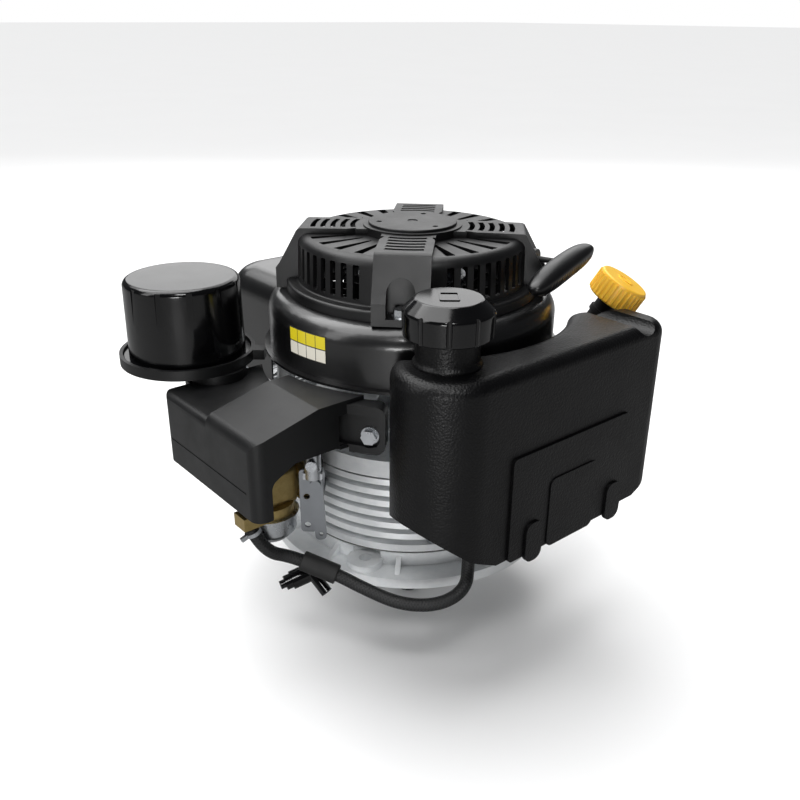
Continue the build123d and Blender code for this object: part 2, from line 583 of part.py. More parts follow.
# ---------------------------------------------------------------- recoil starter
PULL = Vector(0.292, -0.956, 0).normalized()          # the way the rope is pulled
GRIP = Vector(0.956, 0.292, 0)                        # the handle's long axis
rope_z = PULLEY_Z + PULLEY_T / 2
ROPE_LINE = PULLEY_R - 5.7                            # how far the straight rope passes from the axis
HANDLE_OUT = 112.0


def rope_plane(out):
    """The plane across the rope at a distance out along the pull."""
    return Plane(origin=GRIP * ROPE_LINE + PULL * out + Vector(0, 0, rope_z), z_dir=PULL)


def recoil_form(inset):
    """The recoil housing's outer form, or its hollow when inset by the shell's thickness."""
    low = SKIRT_Z - (1 if inset else 0)
    arm_end = ARM_R if not inset else DRUM_R - 4
    with BuildPart() as form:
        turned([(0, low), (SKIRT_R - inset, low), (SKIRT_R - inset, SKIRT_Z + 8 - inset),
                (DRUM_R + 1 - inset, SKIRT_Z + 8 - inset), (DRUM_R - inset, DRUM_TOP - inset),
                (0, DRUM_TOP - inset)], rounds=[0, 0, 2.5, 1.5, 8 - inset, 0])
        for angle in ARM_ANGLES:
            with BuildSketch(radial_plane(angle)) as arm:
                with BuildLine():
                    FilletPolyline((0, low), (arm_end, low), (arm_end, SKIRT_Z + 16), (arm_end - 3, 226),
                                   (86 - inset, ARM_TOP - inset - 1), (30, ARM_TOP - inset),
                                   (0, ARM_TOP - inset), radius=[0, 0, 0, 4, 0], close=False)
                    Line((0, ARM_TOP - inset), (0, low))
                make_face()
            extrude(arm.sketch, amount=ARM_W / 2 - inset, both=True)
        disc(Plane.XY.offset(DRUM_TOP - 4), 38 - inset, ARM_TOP + 1 - inset - DRUM_TOP + 4)
    return form.part


ARC_SLOT_W = 4.0
recoil_outside = recoil_form(0)
recoil_inside = recoil_form(SHELL)
with BuildPart() as recoil_housing:
    add(recoil_outside)
    add(recoil_inside, mode=Mode.SUBTRACT)
    disc(Plane.XY.offset(PULLEY_Z + PULLEY_T + 1), 9, ARM_TOP - PULLEY_Z - PULLEY_T - 1)
    disc(Plane.XY.offset(PULLEY_Z - 3), 6, ARM_TOP - PULLEY_Z)
    for angle in ARM_ANGLES:
        # a tall round-topped pocket in each foot leaves the bolt head open to a wrench
        face = Plane(origin=(*polar(ARM_R + 1, angle), 0),
                     z_dir=(-cos(radians(angle)), -sin(radians(angle)), 0),
                     x_dir=(-sin(radians(angle)), cos(radians(angle)), 0))
        with BuildSketch(face) as pocket:
            with Locations((0, -(SKIRT_Z + 5 + 8.5))):
                Rectangle(20, 17)
            with Locations((0, -(SKIRT_Z + 5 + 17))):
                Circle(10)
        extrude(pocket.sketch, amount=15, mode=Mode.SUBTRACT)
        disc(upright(*polar(97, angle), SKIRT_Z - 2), M6_R + 0.3, 12, Mode.SUBTRACT)
        for count in range(5):
            with BuildSketch(Plane.XY.offset(DRUM_TOP - 12)) as slit:
                with BuildLine():
                    r = 44 + count * 7.6
                    span = degrees(13.5 / r)
                    CenterArc((0, 0), r, angle - span, 2 * span)
                    CenterArc((0, 0), r + ARC_SLOT_W, angle - span, 2 * span)
                    Line(polar(r, angle - span), polar(r + ARC_SLOT_W, angle - span))
                    Line(polar(r, angle + span), polar(r + ARC_SLOT_W, angle + span))
                make_face()
            extrude(slit.sketch, amount=30, mode=Mode.SUBTRACT)
    for quarter in range(4):
        middle = quarter * 90
        for turn in (-21, -7, 7, 21):
            with BuildSketch(Plane.XY.offset(DRUM_TOP - 10)) as slit:
                Polygon(polar(45, middle + turn - 1.5), polar(80, middle + turn - 2.6),
                        polar(80, middle + turn + 2.6), polar(45, middle + turn + 1.5), align=None)
                fillet(slit.vertices(), 0.9)
            extrude(slit.sketch, amount=20, mode=Mode.SUBTRACT)
        for count in range(8):
            angle = middle + (count - 3.5) * 6.6
            side = Plane(origin=(*polar(DRUM_R - 12, angle), SKIRT_Z + 24), z_dir=(*polar(1, angle), 0),
                         x_dir=(*polar(1, angle + 90), 0))
            with BuildSketch(side) as slot:
                RectangleRounded(5.2, 25, 1.2)
            extrude(slot.sketch, amount=20, mode=Mode.SUBTRACT)
    disc(rope_plane(60), 5.6, 60, Mode.SUBTRACT)
    disc(rope_plane(84), 7.7, 40, Mode.SUBTRACT)
finish(recoil_housing, "recoil_housing")

with BuildPart() as centre_disc:
    turned([(0, ARM_TOP + 1.05), (34, ARM_TOP + 1.05), (34, ARM_TOP + 3), (0, ARM_TOP + 3)],
           rounds=[0, 0, 1, 0])
    disc(Plane.XY.offset(ARM_TOP + 2.4), 4, 3, Mode.SUBTRACT)
    for angle in (30, 150, 270):
        disc(upright(*polar(26, angle), ARM_TOP + 1.6), 2.2, 4, Mode.SUBTRACT)
finish(centre_disc, "centre_disc")

with BuildPart() as recoil_pulley:
    turned([(6 + FIT, PULLEY_Z), (PULLEY_R, PULLEY_Z), (PULLEY_R, PULLEY_Z + 2), (PULLEY_R - 11, PULLEY_Z + 3.2),
            (PULLEY_R - 11, PULLEY_Z + PULLEY_T - 3.2), (PULLEY_R, PULLEY_Z + PULLEY_T - 2),
            (PULLEY_R, PULLEY_Z + PULLEY_T), (6 + FIT, PULLEY_Z + PULLEY_T)])
    for angle in range(0, 360, 60):
        disc(upright(*polar(20, angle), PULLEY_Z - 1), 6, 30, Mode.SUBTRACT)
finish(recoil_pulley, "recoil_pulley")

with BuildPart() as rope_winding:
    with BuildSketch(Plane.XZ) as coil:
        with Locations((PULLEY_R - 8.5, rope_z)):
            RectangleRounded(4.2, 5.0, 1.2)
    revolve(coil.sketch, axis=Axis.Z)
finish(rope_winding, "rope_winding")

with BuildPart() as recoil_rope:
    disc(rope_plane(22), ROPE_R, HANDLE_OUT - 25)
finish(recoil_rope, "recoil_rope")

with BuildPart() as rope_guide:
    ring(rope_plane(70), 5.5, ROPE_R + 0.6, 16)
    ring(rope_plane(85), 7.4, ROPE_R + 0.6, 3)
finish(rope_guide, "rope_guide")

belly = (PULL * 0.5 + Vector(0, 0, 0.866)).normalized()
handle_plane = Plane(origin=rope_plane(HANDLE_OUT).origin, x_dir=GRIP, z_dir=GRIP.cross(belly))
with BuildPart() as recoil_handle:
    with BuildSketch(handle_plane) as lens:
        with BuildLine():
            half = HANDLE_LENGTH / 2
            ThreePointArc((-half, 3), (0, 6.5), (half, 3))
            Line((half, 3), (half, -3))
            ThreePointArc((half, -3), (0, -9.5), (-half, -3))
            Line((-half, -3), (-half, 3))
        make_face()
    extrude(lens.sketch, amount=10.5, both=True)
    fillet(recoil_handle.edges().filter_by(GeomType.CIRCLE), 1.8)
    for count in range(-6, 7):
        if count:
            groove = Plane(origin=handle_plane.origin + GRIP * (count * 6.6)
                           - belly * (10.6 - abs(count) * 0.7), z_dir=GRIP.cross(belly))
            with BuildSketch(groove.offset(-12)) as cut:
                Circle(1.7)
            extrude(cut.sketch, amount=24, mode=Mode.SUBTRACT)
    disc(rope_plane(HANDLE_OUT - 30), ROPE_R + FIT, 40, Mode.SUBTRACT)
    disc(rope_plane(HANDLE_OUT - 1), 5, 40, Mode.SUBTRACT)
finish(recoil_handle, "recoil_handle")

with BuildPart() as rope_knot:
    disc(rope_plane(HANDLE_OUT - 0.9), 4.4, 5)
    fillet(rope_knot.edges(), 1.6)
finish(rope_knot, "rope_knot")

with BuildPart() as recoil_spring:
    with BuildSketch(Plane.XY.offset(PULLEY_Z + PULLEY_T + 1.5)) as band:
        with BuildLine() as coils:
            for half_turn in range(12):
                side = 1 if half_turn % 2 else -1
                CenterArc((side * 0.9, 0), 12 + half_turn * 1.8, 180 if half_turn % 2 else 0, 180)
        trace(coils.line, line_width=0.8)
    extrude(band.sketch, amount=6)
finish(recoil_spring, "recoil_spring")

# ---------------------------------------------------------------- air cleaner
COWL_ARM_R, COWL_ARM_TOP, COWL_ARM_LOW = 133.0, 158.0, 122.0


def ring_sector(inner, outer, start, stop, bottom, top, mode=Mode.ADD):
    """Add or cut a part of a flat ring between two angles."""
    with BuildSketch(Plane.XY.offset(bottom)) as sector:
        with BuildLine():
            CenterArc((0, 0), inner, start, stop - start)
            CenterArc((0, 0), outer, start, stop - start)
            Line(polar(inner, start), polar(outer, start))
            Line(polar(inner, stop), polar(outer, stop))
        make_face()
    extrude(sector.sketch, amount=top - bottom, mode=mode)


def cowl_form(inset):
    """The air box's outer form, or its hollow when inset by the wall."""
    across = Plane(origin=(0, COWL_FRONT + inset, 0), x_dir=(1, 0, 0), z_dir=(0, -1, 0))
    floor = COWL_Z - (1 if inset else 0)
    left, inner = COWL_X + inset, -100 if not inset else -99
    with BuildPart() as form:
        prism(across, [(left, floor), (left, COWL_TOP - inset), (-138, 161 - inset), (inner, 161 - inset),
                       (inner, floor)], -(-4 - COWL_FRONT - 2 * inset), rounds=[0, 9 - inset, 6, 0, 0])
        prism(across, [(left, floor), (left, COWL_TOP - 3 - inset), (inner, COWL_TOP - 3 - inset),
                       (inner, floor)],
              -(COWL_BACK - COWL_FRONT - 2 * inset), rounds=[0, 6 - inset, 0, 0])
        with BuildSketch(Plane.XY.offset(floor)):
            with Locations(((left - 20) / 2, (COWL_BACK + COWL_FRONT) / 2)):
                RectangleRounded(-20 - left, COWL_BACK - COWL_FRONT - 2 * inset, 9 - inset)
        extrude(amount=90, mode=Mode.INTERSECT)
    return form.part


cowl_outside = cowl_form(0)
cowl_inside = cowl_form(COWL_WALL)
neck_x, neck_y = -142.0, 64.0
with BuildPart() as air_box:
    add(cowl_outside)
    with BuildSketch(Plane.XY.offset(118)) as rear_neck:
        with Locations((neck_x, neck_y)):
            Circle(25)
    extrude(rear_neck.sketch, amount=COWL_TOP - 3 - 118)
    add(cowl_inside, mode=Mode.SUBTRACT)
    disc(upright(neck_x, neck_y, 119), 22, COWL_TOP - 3 - COWL_WALL - 119, Mode.SUBTRACT)
    disc(upright(neck_x, neck_y, 119), 18, 60, Mode.SUBTRACT)
    disc(Plane.XY.offset(COWL_Z - 2), COWL_IN_R, 90, Mode.SUBTRACT)
    block((-123, COWL_FRONT - 1, COWL_Z - 2), (-90, COWL_BACK + 30, 121), Mode.SUBTRACT)
    ring_sector(COWL_IN_R, COWL_ARM_R, 190, 222, COWL_ARM_LOW, COWL_ARM_TOP)
    arm_end = air_box.edges().filter_by(lambda e: abs(degrees(atan2(e.center().Y, e.center().X)) + 138) < 0.5)
    fillet(arm_end.filter_by(lambda e: abs(e.length - (COWL_ARM_R - COWL_IN_R)) < 0.5), 7)
    ring_sector(COWL_ARM_R - 4, COWL_ARM_R + 6, 205, 219.5, 128, 151, Mode.SUBTRACT)
    # front opening that leaves the carburettor's side in view
    prism(Plane(origin=(0, COWL_FRONT - 1, 0), x_dir=(1, 0, 0), z_dir=(0, -1, 0)),
          [(-177, COWL_Z - 2), (-177, 117), (-158, 127), (-110, 127), (-110, COWL_Z - 2)], -6,
          rounds=[0, 8, 6, 0, 0], mode=Mode.SUBTRACT)
    disc(cowl_bolt_seat.offset(-30), M6_R + 0.4, 60, Mode.SUBTRACT)
    disc(cowl_bolt_seat, 8.2, 60, Mode.SUBTRACT)
    block((COWL_X - 0.4, COWL_FRONT + 12, 109), (COWL_X + 0.5, COWL_BACK - 8, 110.2), Mode.SUBTRACT)
finish(air_box, "air_box")

with BuildPart() as filter_base:
    disc(upright(FILTER_X, FILTER_Y, 152), 50, 3)
    ring(upright(FILTER_X, FILTER_Y, 152), 52.3, 49.5, FILTER_Z - 152)
    ring(upright(FILTER_X, FILTER_Y, 155), FILTER_R - 3, FILTER_R - 6, 6)
    disc(upright(neck_x, neck_y, COWL_TOP - 2.8), 22, 152 - COWL_TOP + 3)
    disc(upright(FILTER_X, FILTER_Y, 150), 12, 60)
    lug_x, lug_y = polar(56, -40)
    with Locations(Location((FILTER_X + lug_x, FILTER_Y + lug_y, 156), (0, 0, -40))):
        Box(10, 12, 8)
    disc(upright(FILTER_X, FILTER_Y, 149), 4, 80, Mode.SUBTRACT)
    disc(upright(neck_x, neck_y, 140), 17, 40, Mode.SUBTRACT)
finish(filter_base, "filter_base")

with BuildPart() as filter_element:
    pleats = 44
    with BuildSketch(upright(FILTER_X, FILTER_Y, 156)) as star:
        Polygon(*[polar(38 if side else 29, 360 / pleats * (count + side / 2))
                  for count in range(pleats) for side in (0, 1)], align=None)
        Circle(26, mode=Mode.SUBTRACT)
    extrude(star.sketch, amount=50)
    ring(upright(FILTER_X, FILTER_Y, 155.2), 38.5, 25, 3)
    ring(upright(FILTER_X, FILTER_Y, 205), 38.5, 25, 4)
finish(filter_element, "filter_element")

with BuildPart() as filter_cover:
    turned([(0, FILTER_TOP), (FILTER_R - 1, FILTER_TOP), (FILTER_R, FILTER_Z - 3), (FILTER_R - 2.3, FILTER_Z - 3),
            (FILTER_R - 3.3, FILTER_TOP - 2), (0, FILTER_TOP - 2)], FILTER_X, FILTER_Y,
           rounds=[0, 4.5, 0.6, 0, 2.5, 0])
    ring(upright(FILTER_X, FILTER_Y, FILTER_Z - 4), FILTER_R + 3.5, FILTER_R - 1, 2)
    for count in range(12):
        outward = polar(1, count * 30 + 10)
        wall = Plane(origin=(FILTER_X, FILTER_Y, 0), x_dir=(*outward, 0), z_dir=(outward[1], -outward[0], 0))
        with BuildSketch(wall) as flute:
            Polygon((FILTER_R - 1.8, FILTER_TOP - 1.5), (FILTER_R + 2, FILTER_TOP + 2), (FILTER_R + 2, 186),
                    (FILTER_R - 0.4, 186), align=None)
        extrude(flute.sketch, amount=2.2, both=True, mode=Mode.SUBTRACT)
finish(filter_cover, "filter_cover")

# ---------------------------------------------------------------- carburettor and intake
carb = Plane(origin=(-172, -18, 88), z_dir=(1, 0, 0), x_dir=(0, 1, 0))
with BuildPart() as carburettor:
    disc(carb, 14, 44)
    with BuildSketch(carb.offset(2)) as middle:
        RectangleRounded(28, 30, 5)
    extrude(middle.sketch, amount=34)
    with BuildSketch(carb.offset(40)) as mount_face:
        RectangleRounded(38, 30, 9)
    extrude(mount_face.sketch, amount=5)
    disc(upright(-152, -18, 67), 19, 8)
    block((-185, -40, 70.2), (-166, -26, 80))
    disc(Plane(origin=(-177.6, -33.5, 70.2), z_dir=(-6.8, 4, 20.6)), 3.1, -8)
    disc(carb.offset(-1), 9.5, 60, Mode.SUBTRACT)
    disc(upright(-158, -18, 88), 2.5 + FIT, 24, Mode.SUBTRACT)
finish(carburettor, "carburettor")

with BuildPart() as float_bowl:
    turned([(0, 46), (14, 46), (20, 52), (20, 66), (22, 66), (22, 67), (0, 67)], -152, -18,
           rounds=[0, 3, 4, 0, 0, 0, 0])
    disc(Plane(origin=(-152, -18, 46.5), z_dir=(0, 0, -1)), 5, 4)
finish(float_bowl, "float_bowl")

with BuildPart() as throttle_shaft:
    disc(upright(-158, -18, 90), 2.5, 30)
    block((-172, -20.5, 106), (-155, -15.5, 108))
    block((-172, -20.5, 106), (-168, -15.5, 116))
finish(throttle_shaft, "throttle_shaft")

INTAKE_R = 13.0
intake_start = (-126.5, -18, 88)
with BuildPart() as intake_pipe:
    with BuildLine() as centre_line:
        FilletPolyline(intake_start, (-110, -18, 88), (-110, PORT_Y, PORT_Z), (-PORT_X - 14, PORT_Y, PORT_Z),
                       radius=[14, 22])
    with BuildSketch(Plane(origin=intake_start, z_dir=(1, 0, 0))) as section:
        Circle(12)
        Circle(9.5, mode=Mode.SUBTRACT)
    sweep(section.sketch, path=centre_line.line)
    with BuildSketch(Plane(origin=intake_start, z_dir=(1, 0, 0), x_dir=(0, 1, 0))) as mount_face:
        RectangleRounded(38, 30, 9)
        Circle(9.5, mode=Mode.SUBTRACT)
    extrude(mount_face.sketch, amount=4)
finish(intake_pipe, "intake_pipe")

# ---------------------------------------------------------------- fuel tank
GROOVE_X = 96.0
def tank_form(inset):
    """The tank's outer form, or its hollow when inset by the wall."""
    clear = TANK_CLEAR_R + inset
    front, right = TANK_FRONT + inset, TANK_RIGHT - inset
    bottom, top = TANK_BOTTOM + inset, TANK_TOP - inset
    across = Plane(origin=(0, -60, 0), x_dir=(1, 0, 0), z_dir=(0, -1, 0))
    with BuildPart() as form:
        with BuildSketch(Plane.XY.offset(bottom)) as plan:
            with BuildLine():
                FilletPolyline((TANK_LEFT_X, front), (right, front), (right, -115 - inset), (84, -97 - inset),
                               (TANK_LEFT_X, -97 - inset), radius=[0, 20 - inset, 7, 8, 0], close=True)
            make_face()
            with Locations((TANK_LEFT_X, TANK_LEFT_Y)):
                Circle(TANK_LEFT_R - inset)
            Circle(clear, mode=Mode.SUBTRACT)
            fillet(plan.vertices().filter_by(lambda v: abs(sqrt(v.X ** 2 + v.Y ** 2) - clear) < 0.1), 7)
        extrude(amount=top - bottom)
        prism(across, [(-130, 0), (-56, 0), (-56 + inset, bottom), (-80, bottom + 12),
                       (-112, 88 + inset), (-130, 88)],
              110, mode=Mode.SUBTRACT)
        prism(across, [(98, 0), (98 - inset, bottom), (116, bottom + 8), (128, 70 + inset), (140, 70),
                       (140, 0)],
              110, mode=Mode.SUBTRACT)
        side = Plane(origin=(-130, 0, 0), x_dir=(0, 1, 0), z_dir=(1, 0, 0))
        prism(side, [(-146, 20), (-146, bottom), (-60, 88 + inset), (-60, 20)], 270, mode=Mode.SUBTRACT)
        fillet(form.edges().group_by(Axis.Z)[-1], 10 - inset)
        disc(Plane(origin=(GROOVE_X, -180, TANK_TOP + 4), z_dir=(0, 1, 0)), 11 + inset, 120, Mode.SUBTRACT)
    return form.part


tank_outside = tank_form(0)
tank_inside = tank_form(TANK_WALL)
neck = (TANK_LEFT_X, TANK_LEFT_Y + 2)
OUTLET_X, OUTLET_Y, OUTLET_Z = -52.0, -128.0, 52.0
with BuildPart() as fuel_tank:
    add(tank_outside)
    panel = Plane(origin=(0, TANK_FRONT + 1, 0), x_dir=(1, 0, 0), z_dir=(0, -1, 0))
    with BuildSketch(panel) as apron:
        with Locations((17, (TANK_BOTTOM + 130) / 2 - 1)):
            RectangleRounded(126, 130 - TANK_BOTTOM + 2, 4)
    extrude(apron.sketch, amount=3)
    with BuildSketch(panel.offset(2)) as badge:
        with Locations((19, 74)):
            RectangleRounded(52, 56, 6)
    extrude(badge.sketch, amount=2)
    for x in (-22, 68):
        with BuildSketch(panel.offset(2)) as arch:
            with Locations((x, 58)):
                RectangleRounded(17, 32, 7)
        extrude(arch.sketch, amount=3)
    turned([(0, TANK_TOP - 2), (23.4, TANK_TOP - 2), (23.4, TANK_TOP + 1.5), (NECK_R, TANK_TOP + 4),
            (NECK_R, CAP_TOP - 8), (0, CAP_TOP - 8)], *neck, rounds=[0, 0, 1.5, 3, 1, 0])
    disc(upright(OUTLET_X, OUTLET_Y, OUTLET_Z), 7, 12)
    add(tank_inside, mode=Mode.SUBTRACT)
    disc(upright(*neck, TANK_TOP - 8), NECK_R - 3, 60, Mode.SUBTRACT)
    disc(upright(OUTLET_X, OUTLET_Y, OUTLET_Z - 1), 4, 30, Mode.SUBTRACT)
finish(fuel_tank, "fuel_tank")

with BuildPart() as fuel_cap:
    turned([(0, CAP_TOP), (22, CAP_TOP), (CAP_R, CAP_TOP - 8), (CAP_R - 0.5, CAP_Z), (NECK_R + 1.6, CAP_Z),
            (NECK_R + 1.6, CAP_TOP - 4), (0, CAP_TOP - 4)], *neck, rounds=[0, 2.5, 3, 1.5, 0, 1, 0])
    for count in range(CAP_GROOVES):
        with BuildSketch(upright(*neck, CAP_Z - 1)) as groove:
            with Locations(polar(CAP_R + 0.6, 360 / CAP_GROOVES * count + 12)):
                Circle(2.1)
        extrude(groove.sketch, amount=CAP_TOP - CAP_Z + 2, mode=Mode.SUBTRACT)
    with BuildSketch(upright(*neck, CAP_TOP - 0.5)) as mark:
        with Locations(Location((0, 0, 0), (0, 0, 50))):
            RectangleRounded(17, 13, 1.5)
            RectangleRounded(15, 11, 1, mode=Mode.SUBTRACT)
    extrude(mark.sketch, amount=1.1)
finish(fuel_cap, "fuel_cap")

with BuildPart() as cap_seal:
    ring(upright(*neck, CAP_TOP - 7.9), NECK_R + 1, NECK_R - 4, 3.7)
finish(cap_seal, "cap_seal")

with BuildPart() as fuel_outlet:
    disc(upright(OUTLET_X, OUTLET_Y, OUTLET_Z + 4), 3.9, -4)
    ring(upright(OUTLET_X, OUTLET_Y, OUTLET_Z), 7, 1.6, -3)
    disc(upright(OUTLET_X, OUTLET_Y, OUTLET_Z - 2), 3.1, -9)
    disc(upright(OUTLET_X, OUTLET_Y, OUTLET_Z + 5), 1.6, -30, Mode.SUBTRACT)
finish(fuel_outlet, "fuel_outlet")

# ---------------------------------------------------------------- oil filler
with BuildPart() as oil_filler_tube:
    ring(filler_plane(175.5), FILLER_R, FILLER_R - 2, 160)
    ring(filler_plane(150), FILLER_R + 2.5, FILLER_R - 2, 5)
    ring(filler_plane(34), FILLER_R + 1.5, FILLER_R - 2, 4)
finish(oil_filler_tube, "oil_filler_tube")

with BuildPart() as oil_cap:
    disc(filler_plane(OIL_CAP_H), OIL_CAP_R - 1, OIL_CAP_H)
    fillet(oil_cap.edges().filter_by(GeomType.CIRCLE), 1.5)
    with BuildSketch(filler_plane(OIL_CAP_H - 1.5)) as ribs:
        with PolarLocations(OIL_CAP_R - 1, 30):
            Circle(1.15)
    extrude(ribs.sketch, amount=OIL_CAP_H - 4)
    disc(filler_plane(OIL_CAP_H + 1), FILLER_R + 1, OIL_CAP_H - 3, Mode.SUBTRACT)
    ring(filler_plane(OIL_CAP_H + 1), OIL_CAP_R - 4, FILLER_R + 3, OIL_CAP_H - 3, Mode.SUBTRACT)
    with BuildSketch(filler_plane(0.5)) as mark:
        with Locations((0, 0)):
            Ellipse(7, 5)
            Ellipse(5.4, 3.4, mode=Mode.SUBTRACT)
    extrude(mark.sketch, amount=1.1)
finish(oil_cap, "oil_cap")

with BuildPart() as dipstick:
    disc(filler_plane(4.1), 5, -4)
    disc(filler_plane(8), 2, 8 - DIPSTICK_END)
    with Locations(filler_plane(DIPSTICK_END - 12)):
        Box(5, 1.2, 20)
finish(dipstick, "dipstick")

# ---------------------------------------------------------------- fuel hose, its sleeve and fittings
HOSE_R, HOSE_BORE_R = 4.75, 3.2
hose_route = [(-52, -128, 48.5), (-52, -128, 34), (-62, -137, 21), (-82, -132, 13), (-103, -113, 12),
              (-118, -87, 19), (-128, -71, 26), (-149, -44, 37), (-170, -38, 47), (-176.8, -34, 67.6)]


def corner_radii(route):
    """For each corner of a route, 0.45 of its shorter run divided by the tangent of half its turn."""
    radii = []
    for before, corner, after in zip(route, route[1:], route[2:]):
        run_in, run_out = Vector(*corner) - Vector(*before), Vector(*after) - Vector(*corner)
        turn = run_in.get_angle(run_out)
        radii.append(0.45 * min(run_in.length, run_out.length) / tan(radians(turn / 2)))
    return radii


hose_radii = corner_radii(hose_route)
print("fuel hose corner radii:", [round(r, 1) for r in hose_radii])
with BuildPart() as fuel_hose:
    with BuildLine() as hose_line:
        FilletPolyline(*hose_route, radius=hose_radii)
    start = Vector(*hose_route[1]) - Vector(*hose_route[0])
    with BuildSketch(Plane(origin=hose_route[0], z_dir=start)) as section:
        Circle(HOSE_R)
        Circle(HOSE_BORE_R, mode=Mode.SUBTRACT)
    sweep(section.sketch, path=hose_line.line)
hose_length = sum(edge.length for edge in hose_line.edges())
hose_area = pi * (HOSE_R ** 2 - HOSE_BORE_R ** 2)
print("fuel hose length:", round(hose_length, 1),
      "volume ratio:", round(fuel_hose.part.volume / (hose_area * hose_length), 4))
finish(fuel_hose, "fuel_hose")

sleeve_start, sleeve_end = Vector(*hose_route[6]), Vector(*hose_route[7])
sleeve_axis = (sleeve_end - sleeve_start).normalized()
with BuildPart() as hose_sleeve:
    ring(Plane(origin=sleeve_start + sleeve_axis * 1, z_dir=sleeve_axis), 7.4, HOSE_R + 0.25, 28)
    fillet(hose_sleeve.edges().filter_by(GeomType.CIRCLE).sort_by(SortBy.RADIUS)[-2:], 1)
finish(hose_sleeve, "hose_sleeve")

middle = sleeve_start + sleeve_axis * 15
with BuildPart() as drain_connector:
    body = Plane(origin=(-131, -46, 19), z_dir=(-0.94, 0.26, -0.22))
    disc(body, 7, 20)
    disc(body.offset(20), 5.5, 5)
    disc(body.offset(25), 3.2, 4)
    stub = Plane(origin=(-136, -47, 19), z_dir=(0.18, -0.78, -0.6))
    disc(stub, 4.4, 19)
    disc(Plane(origin=(-138, -48, 17), z_dir=(0, 0, 1)), 3, middle.Z - 9.5 - 17)
    disc(stub.offset(5), 2.6, 20, Mode.SUBTRACT)
finish(drain_connector, "drain_connector")

with BuildPart() as hose_clamps:
    for start, toward in ((hose_route[0], hose_route[1]), (hose_route[-1], hose_route[-2])):
        along = (Vector(*toward) - Vector(*start)).normalized()
        band = Plane(origin=Vector(*start) + along * 2, z_dir=along)
        ring(band, HOSE_R + 1.1, HOSE_R + 0.03, 3)
        with Locations(band.offset(1.5)):
            with Locations((HOSE_R + 3.2, 0)):
                Box(4.6, 3, 3)
finish(hose_clamps, "hose_clamps")

# ---------------------------------------------------------------- speed control
control = Plane(origin=(-0.643 * 114, -0.766 * 114, 70), x_dir=(0.766, -0.643, 0), z_dir=(-0.643, -0.766, 0))
LEVER_T, LEVER_Z = -69.0, 22.0
with BuildPart() as control_plate:
    prism(control, [(-81, -20), (-70, -20), (-64, 8), (-62, 32), (-81, 32)], 2, rounds=3)
    with BuildSketch(control) as arm:
        with Locations((-73, 0)):
            Rectangle(15, 4)
    extrude(arm.sketch, amount=-60)
    disc(Plane.XY, RIB_R + 0.02, 200, Mode.SUBTRACT)
    with Locations(control.location * Location((LEVER_T, LEVER_Z, 0))):
        Cylinder(2.4, 16, mode=Mode.SUBTRACT)
    for spot in ((-76, -14), (-76, 10)):
        with Locations(control.location * Location((*spot, 0))):
            Cylinder(M6_R - 0.6, 16, mode=Mode.SUBTRACT)
finish(control_plate, "control_plate")

with BuildPart() as governor_lever:
    prism(control.offset(3), [(LEVER_T - 5, LEVER_Z + 6), (LEVER_T + 5, LEVER_Z + 6), (LEVER_T + 7, -24),
                              (LEVER_T - 1, -26)], 2, rounds=3.4)
    with BuildSketch(control.offset(-4)) as pivot:
        with Locations((LEVER_T, LEVER_Z)):
            Circle(2.35)
    extrude(pivot.sketch, amount=9)
    with BuildSketch(control.offset(5)) as head:
        with Locations((LEVER_T, LEVER_Z)):
            Circle(4)
    extrude(head.sketch, amount=2.5)
    with BuildSketch(control.offset(2)) as eye:
        with Locations((LEVER_T + 3, -20)):
            Circle(1.6)
    extrude(eye.sketch, amount=6, mode=Mode.SUBTRACT)
finish(governor_lever, "governor_lever")

with BuildPart() as cable_clamp:
    with BuildSketch(control.offset(2.02)) as foot:
        with Locations((LEVER_T - 1, LEVER_Z + 10)):
            RectangleRounded(14, 5, 1)
    extrude(foot.sketch, amount=10)
    barrel = Plane(origin=control.origin + control.x_dir * (LEVER_T - 1) + control.z_dir * 9
                   + Vector(0, 0, LEVER_Z + 8))
    disc(barrel, 6, 20)
    fillet(cable_clamp.edges().filter_by(GeomType.CIRCLE).group_by(Axis.Z)[-1], 1)
    disc(barrel.offset(-1), 1.6, 40, Mode.SUBTRACT)
    screw = Plane(origin=barrel.origin + Vector(0, 0, 14), z_dir=control.z_dir)
    disc(screw, 2.5, 11)
    disc(screw.offset(8), 4, 3)
finish(cable_clamp, "cable_clamp")

# ---------------------------------------------------------------- fasteners and the blank label
with BuildPart() as m6_bolts:
    for seat in recoil_seats:
        flange_bolt(seat, M6_R, 11)
    for angle in POST_ANGLES:
        flange_bolt(upright(*polar(POST_R, angle), SHROUD_Z + SHEET), M6_R, 16)
    flange_bolt(cowl_bolt_seat, M6_R, 24)
finish(m6_bolts, "m6_bolts")

with BuildPart() as label:
    ring_sector(SHROUD_R + 0.05, SHROUD_R + 0.35, LABEL_ANGLE - 9.4, LABEL_ANGLE + 9.4,
                LABEL_LOW, LABEL_LOW + LABEL_H)
finish(label, "label")
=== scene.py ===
# %% [markdown]
# # A small petrol engine with a recoil starter
# The engine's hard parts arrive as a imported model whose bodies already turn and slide. This script gives
# every part its real finish, makes the fuel hose again as one smooth curve, and lights the result softly
# on a pale floor. Everything is in metres, in the frame of the mounting flange: the crankshaft is the Z
# axis and the tank stands on the -Y side.

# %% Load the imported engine
from math import radians, sin, cos
import bpy
import numpy as np
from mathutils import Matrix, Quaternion, Vector


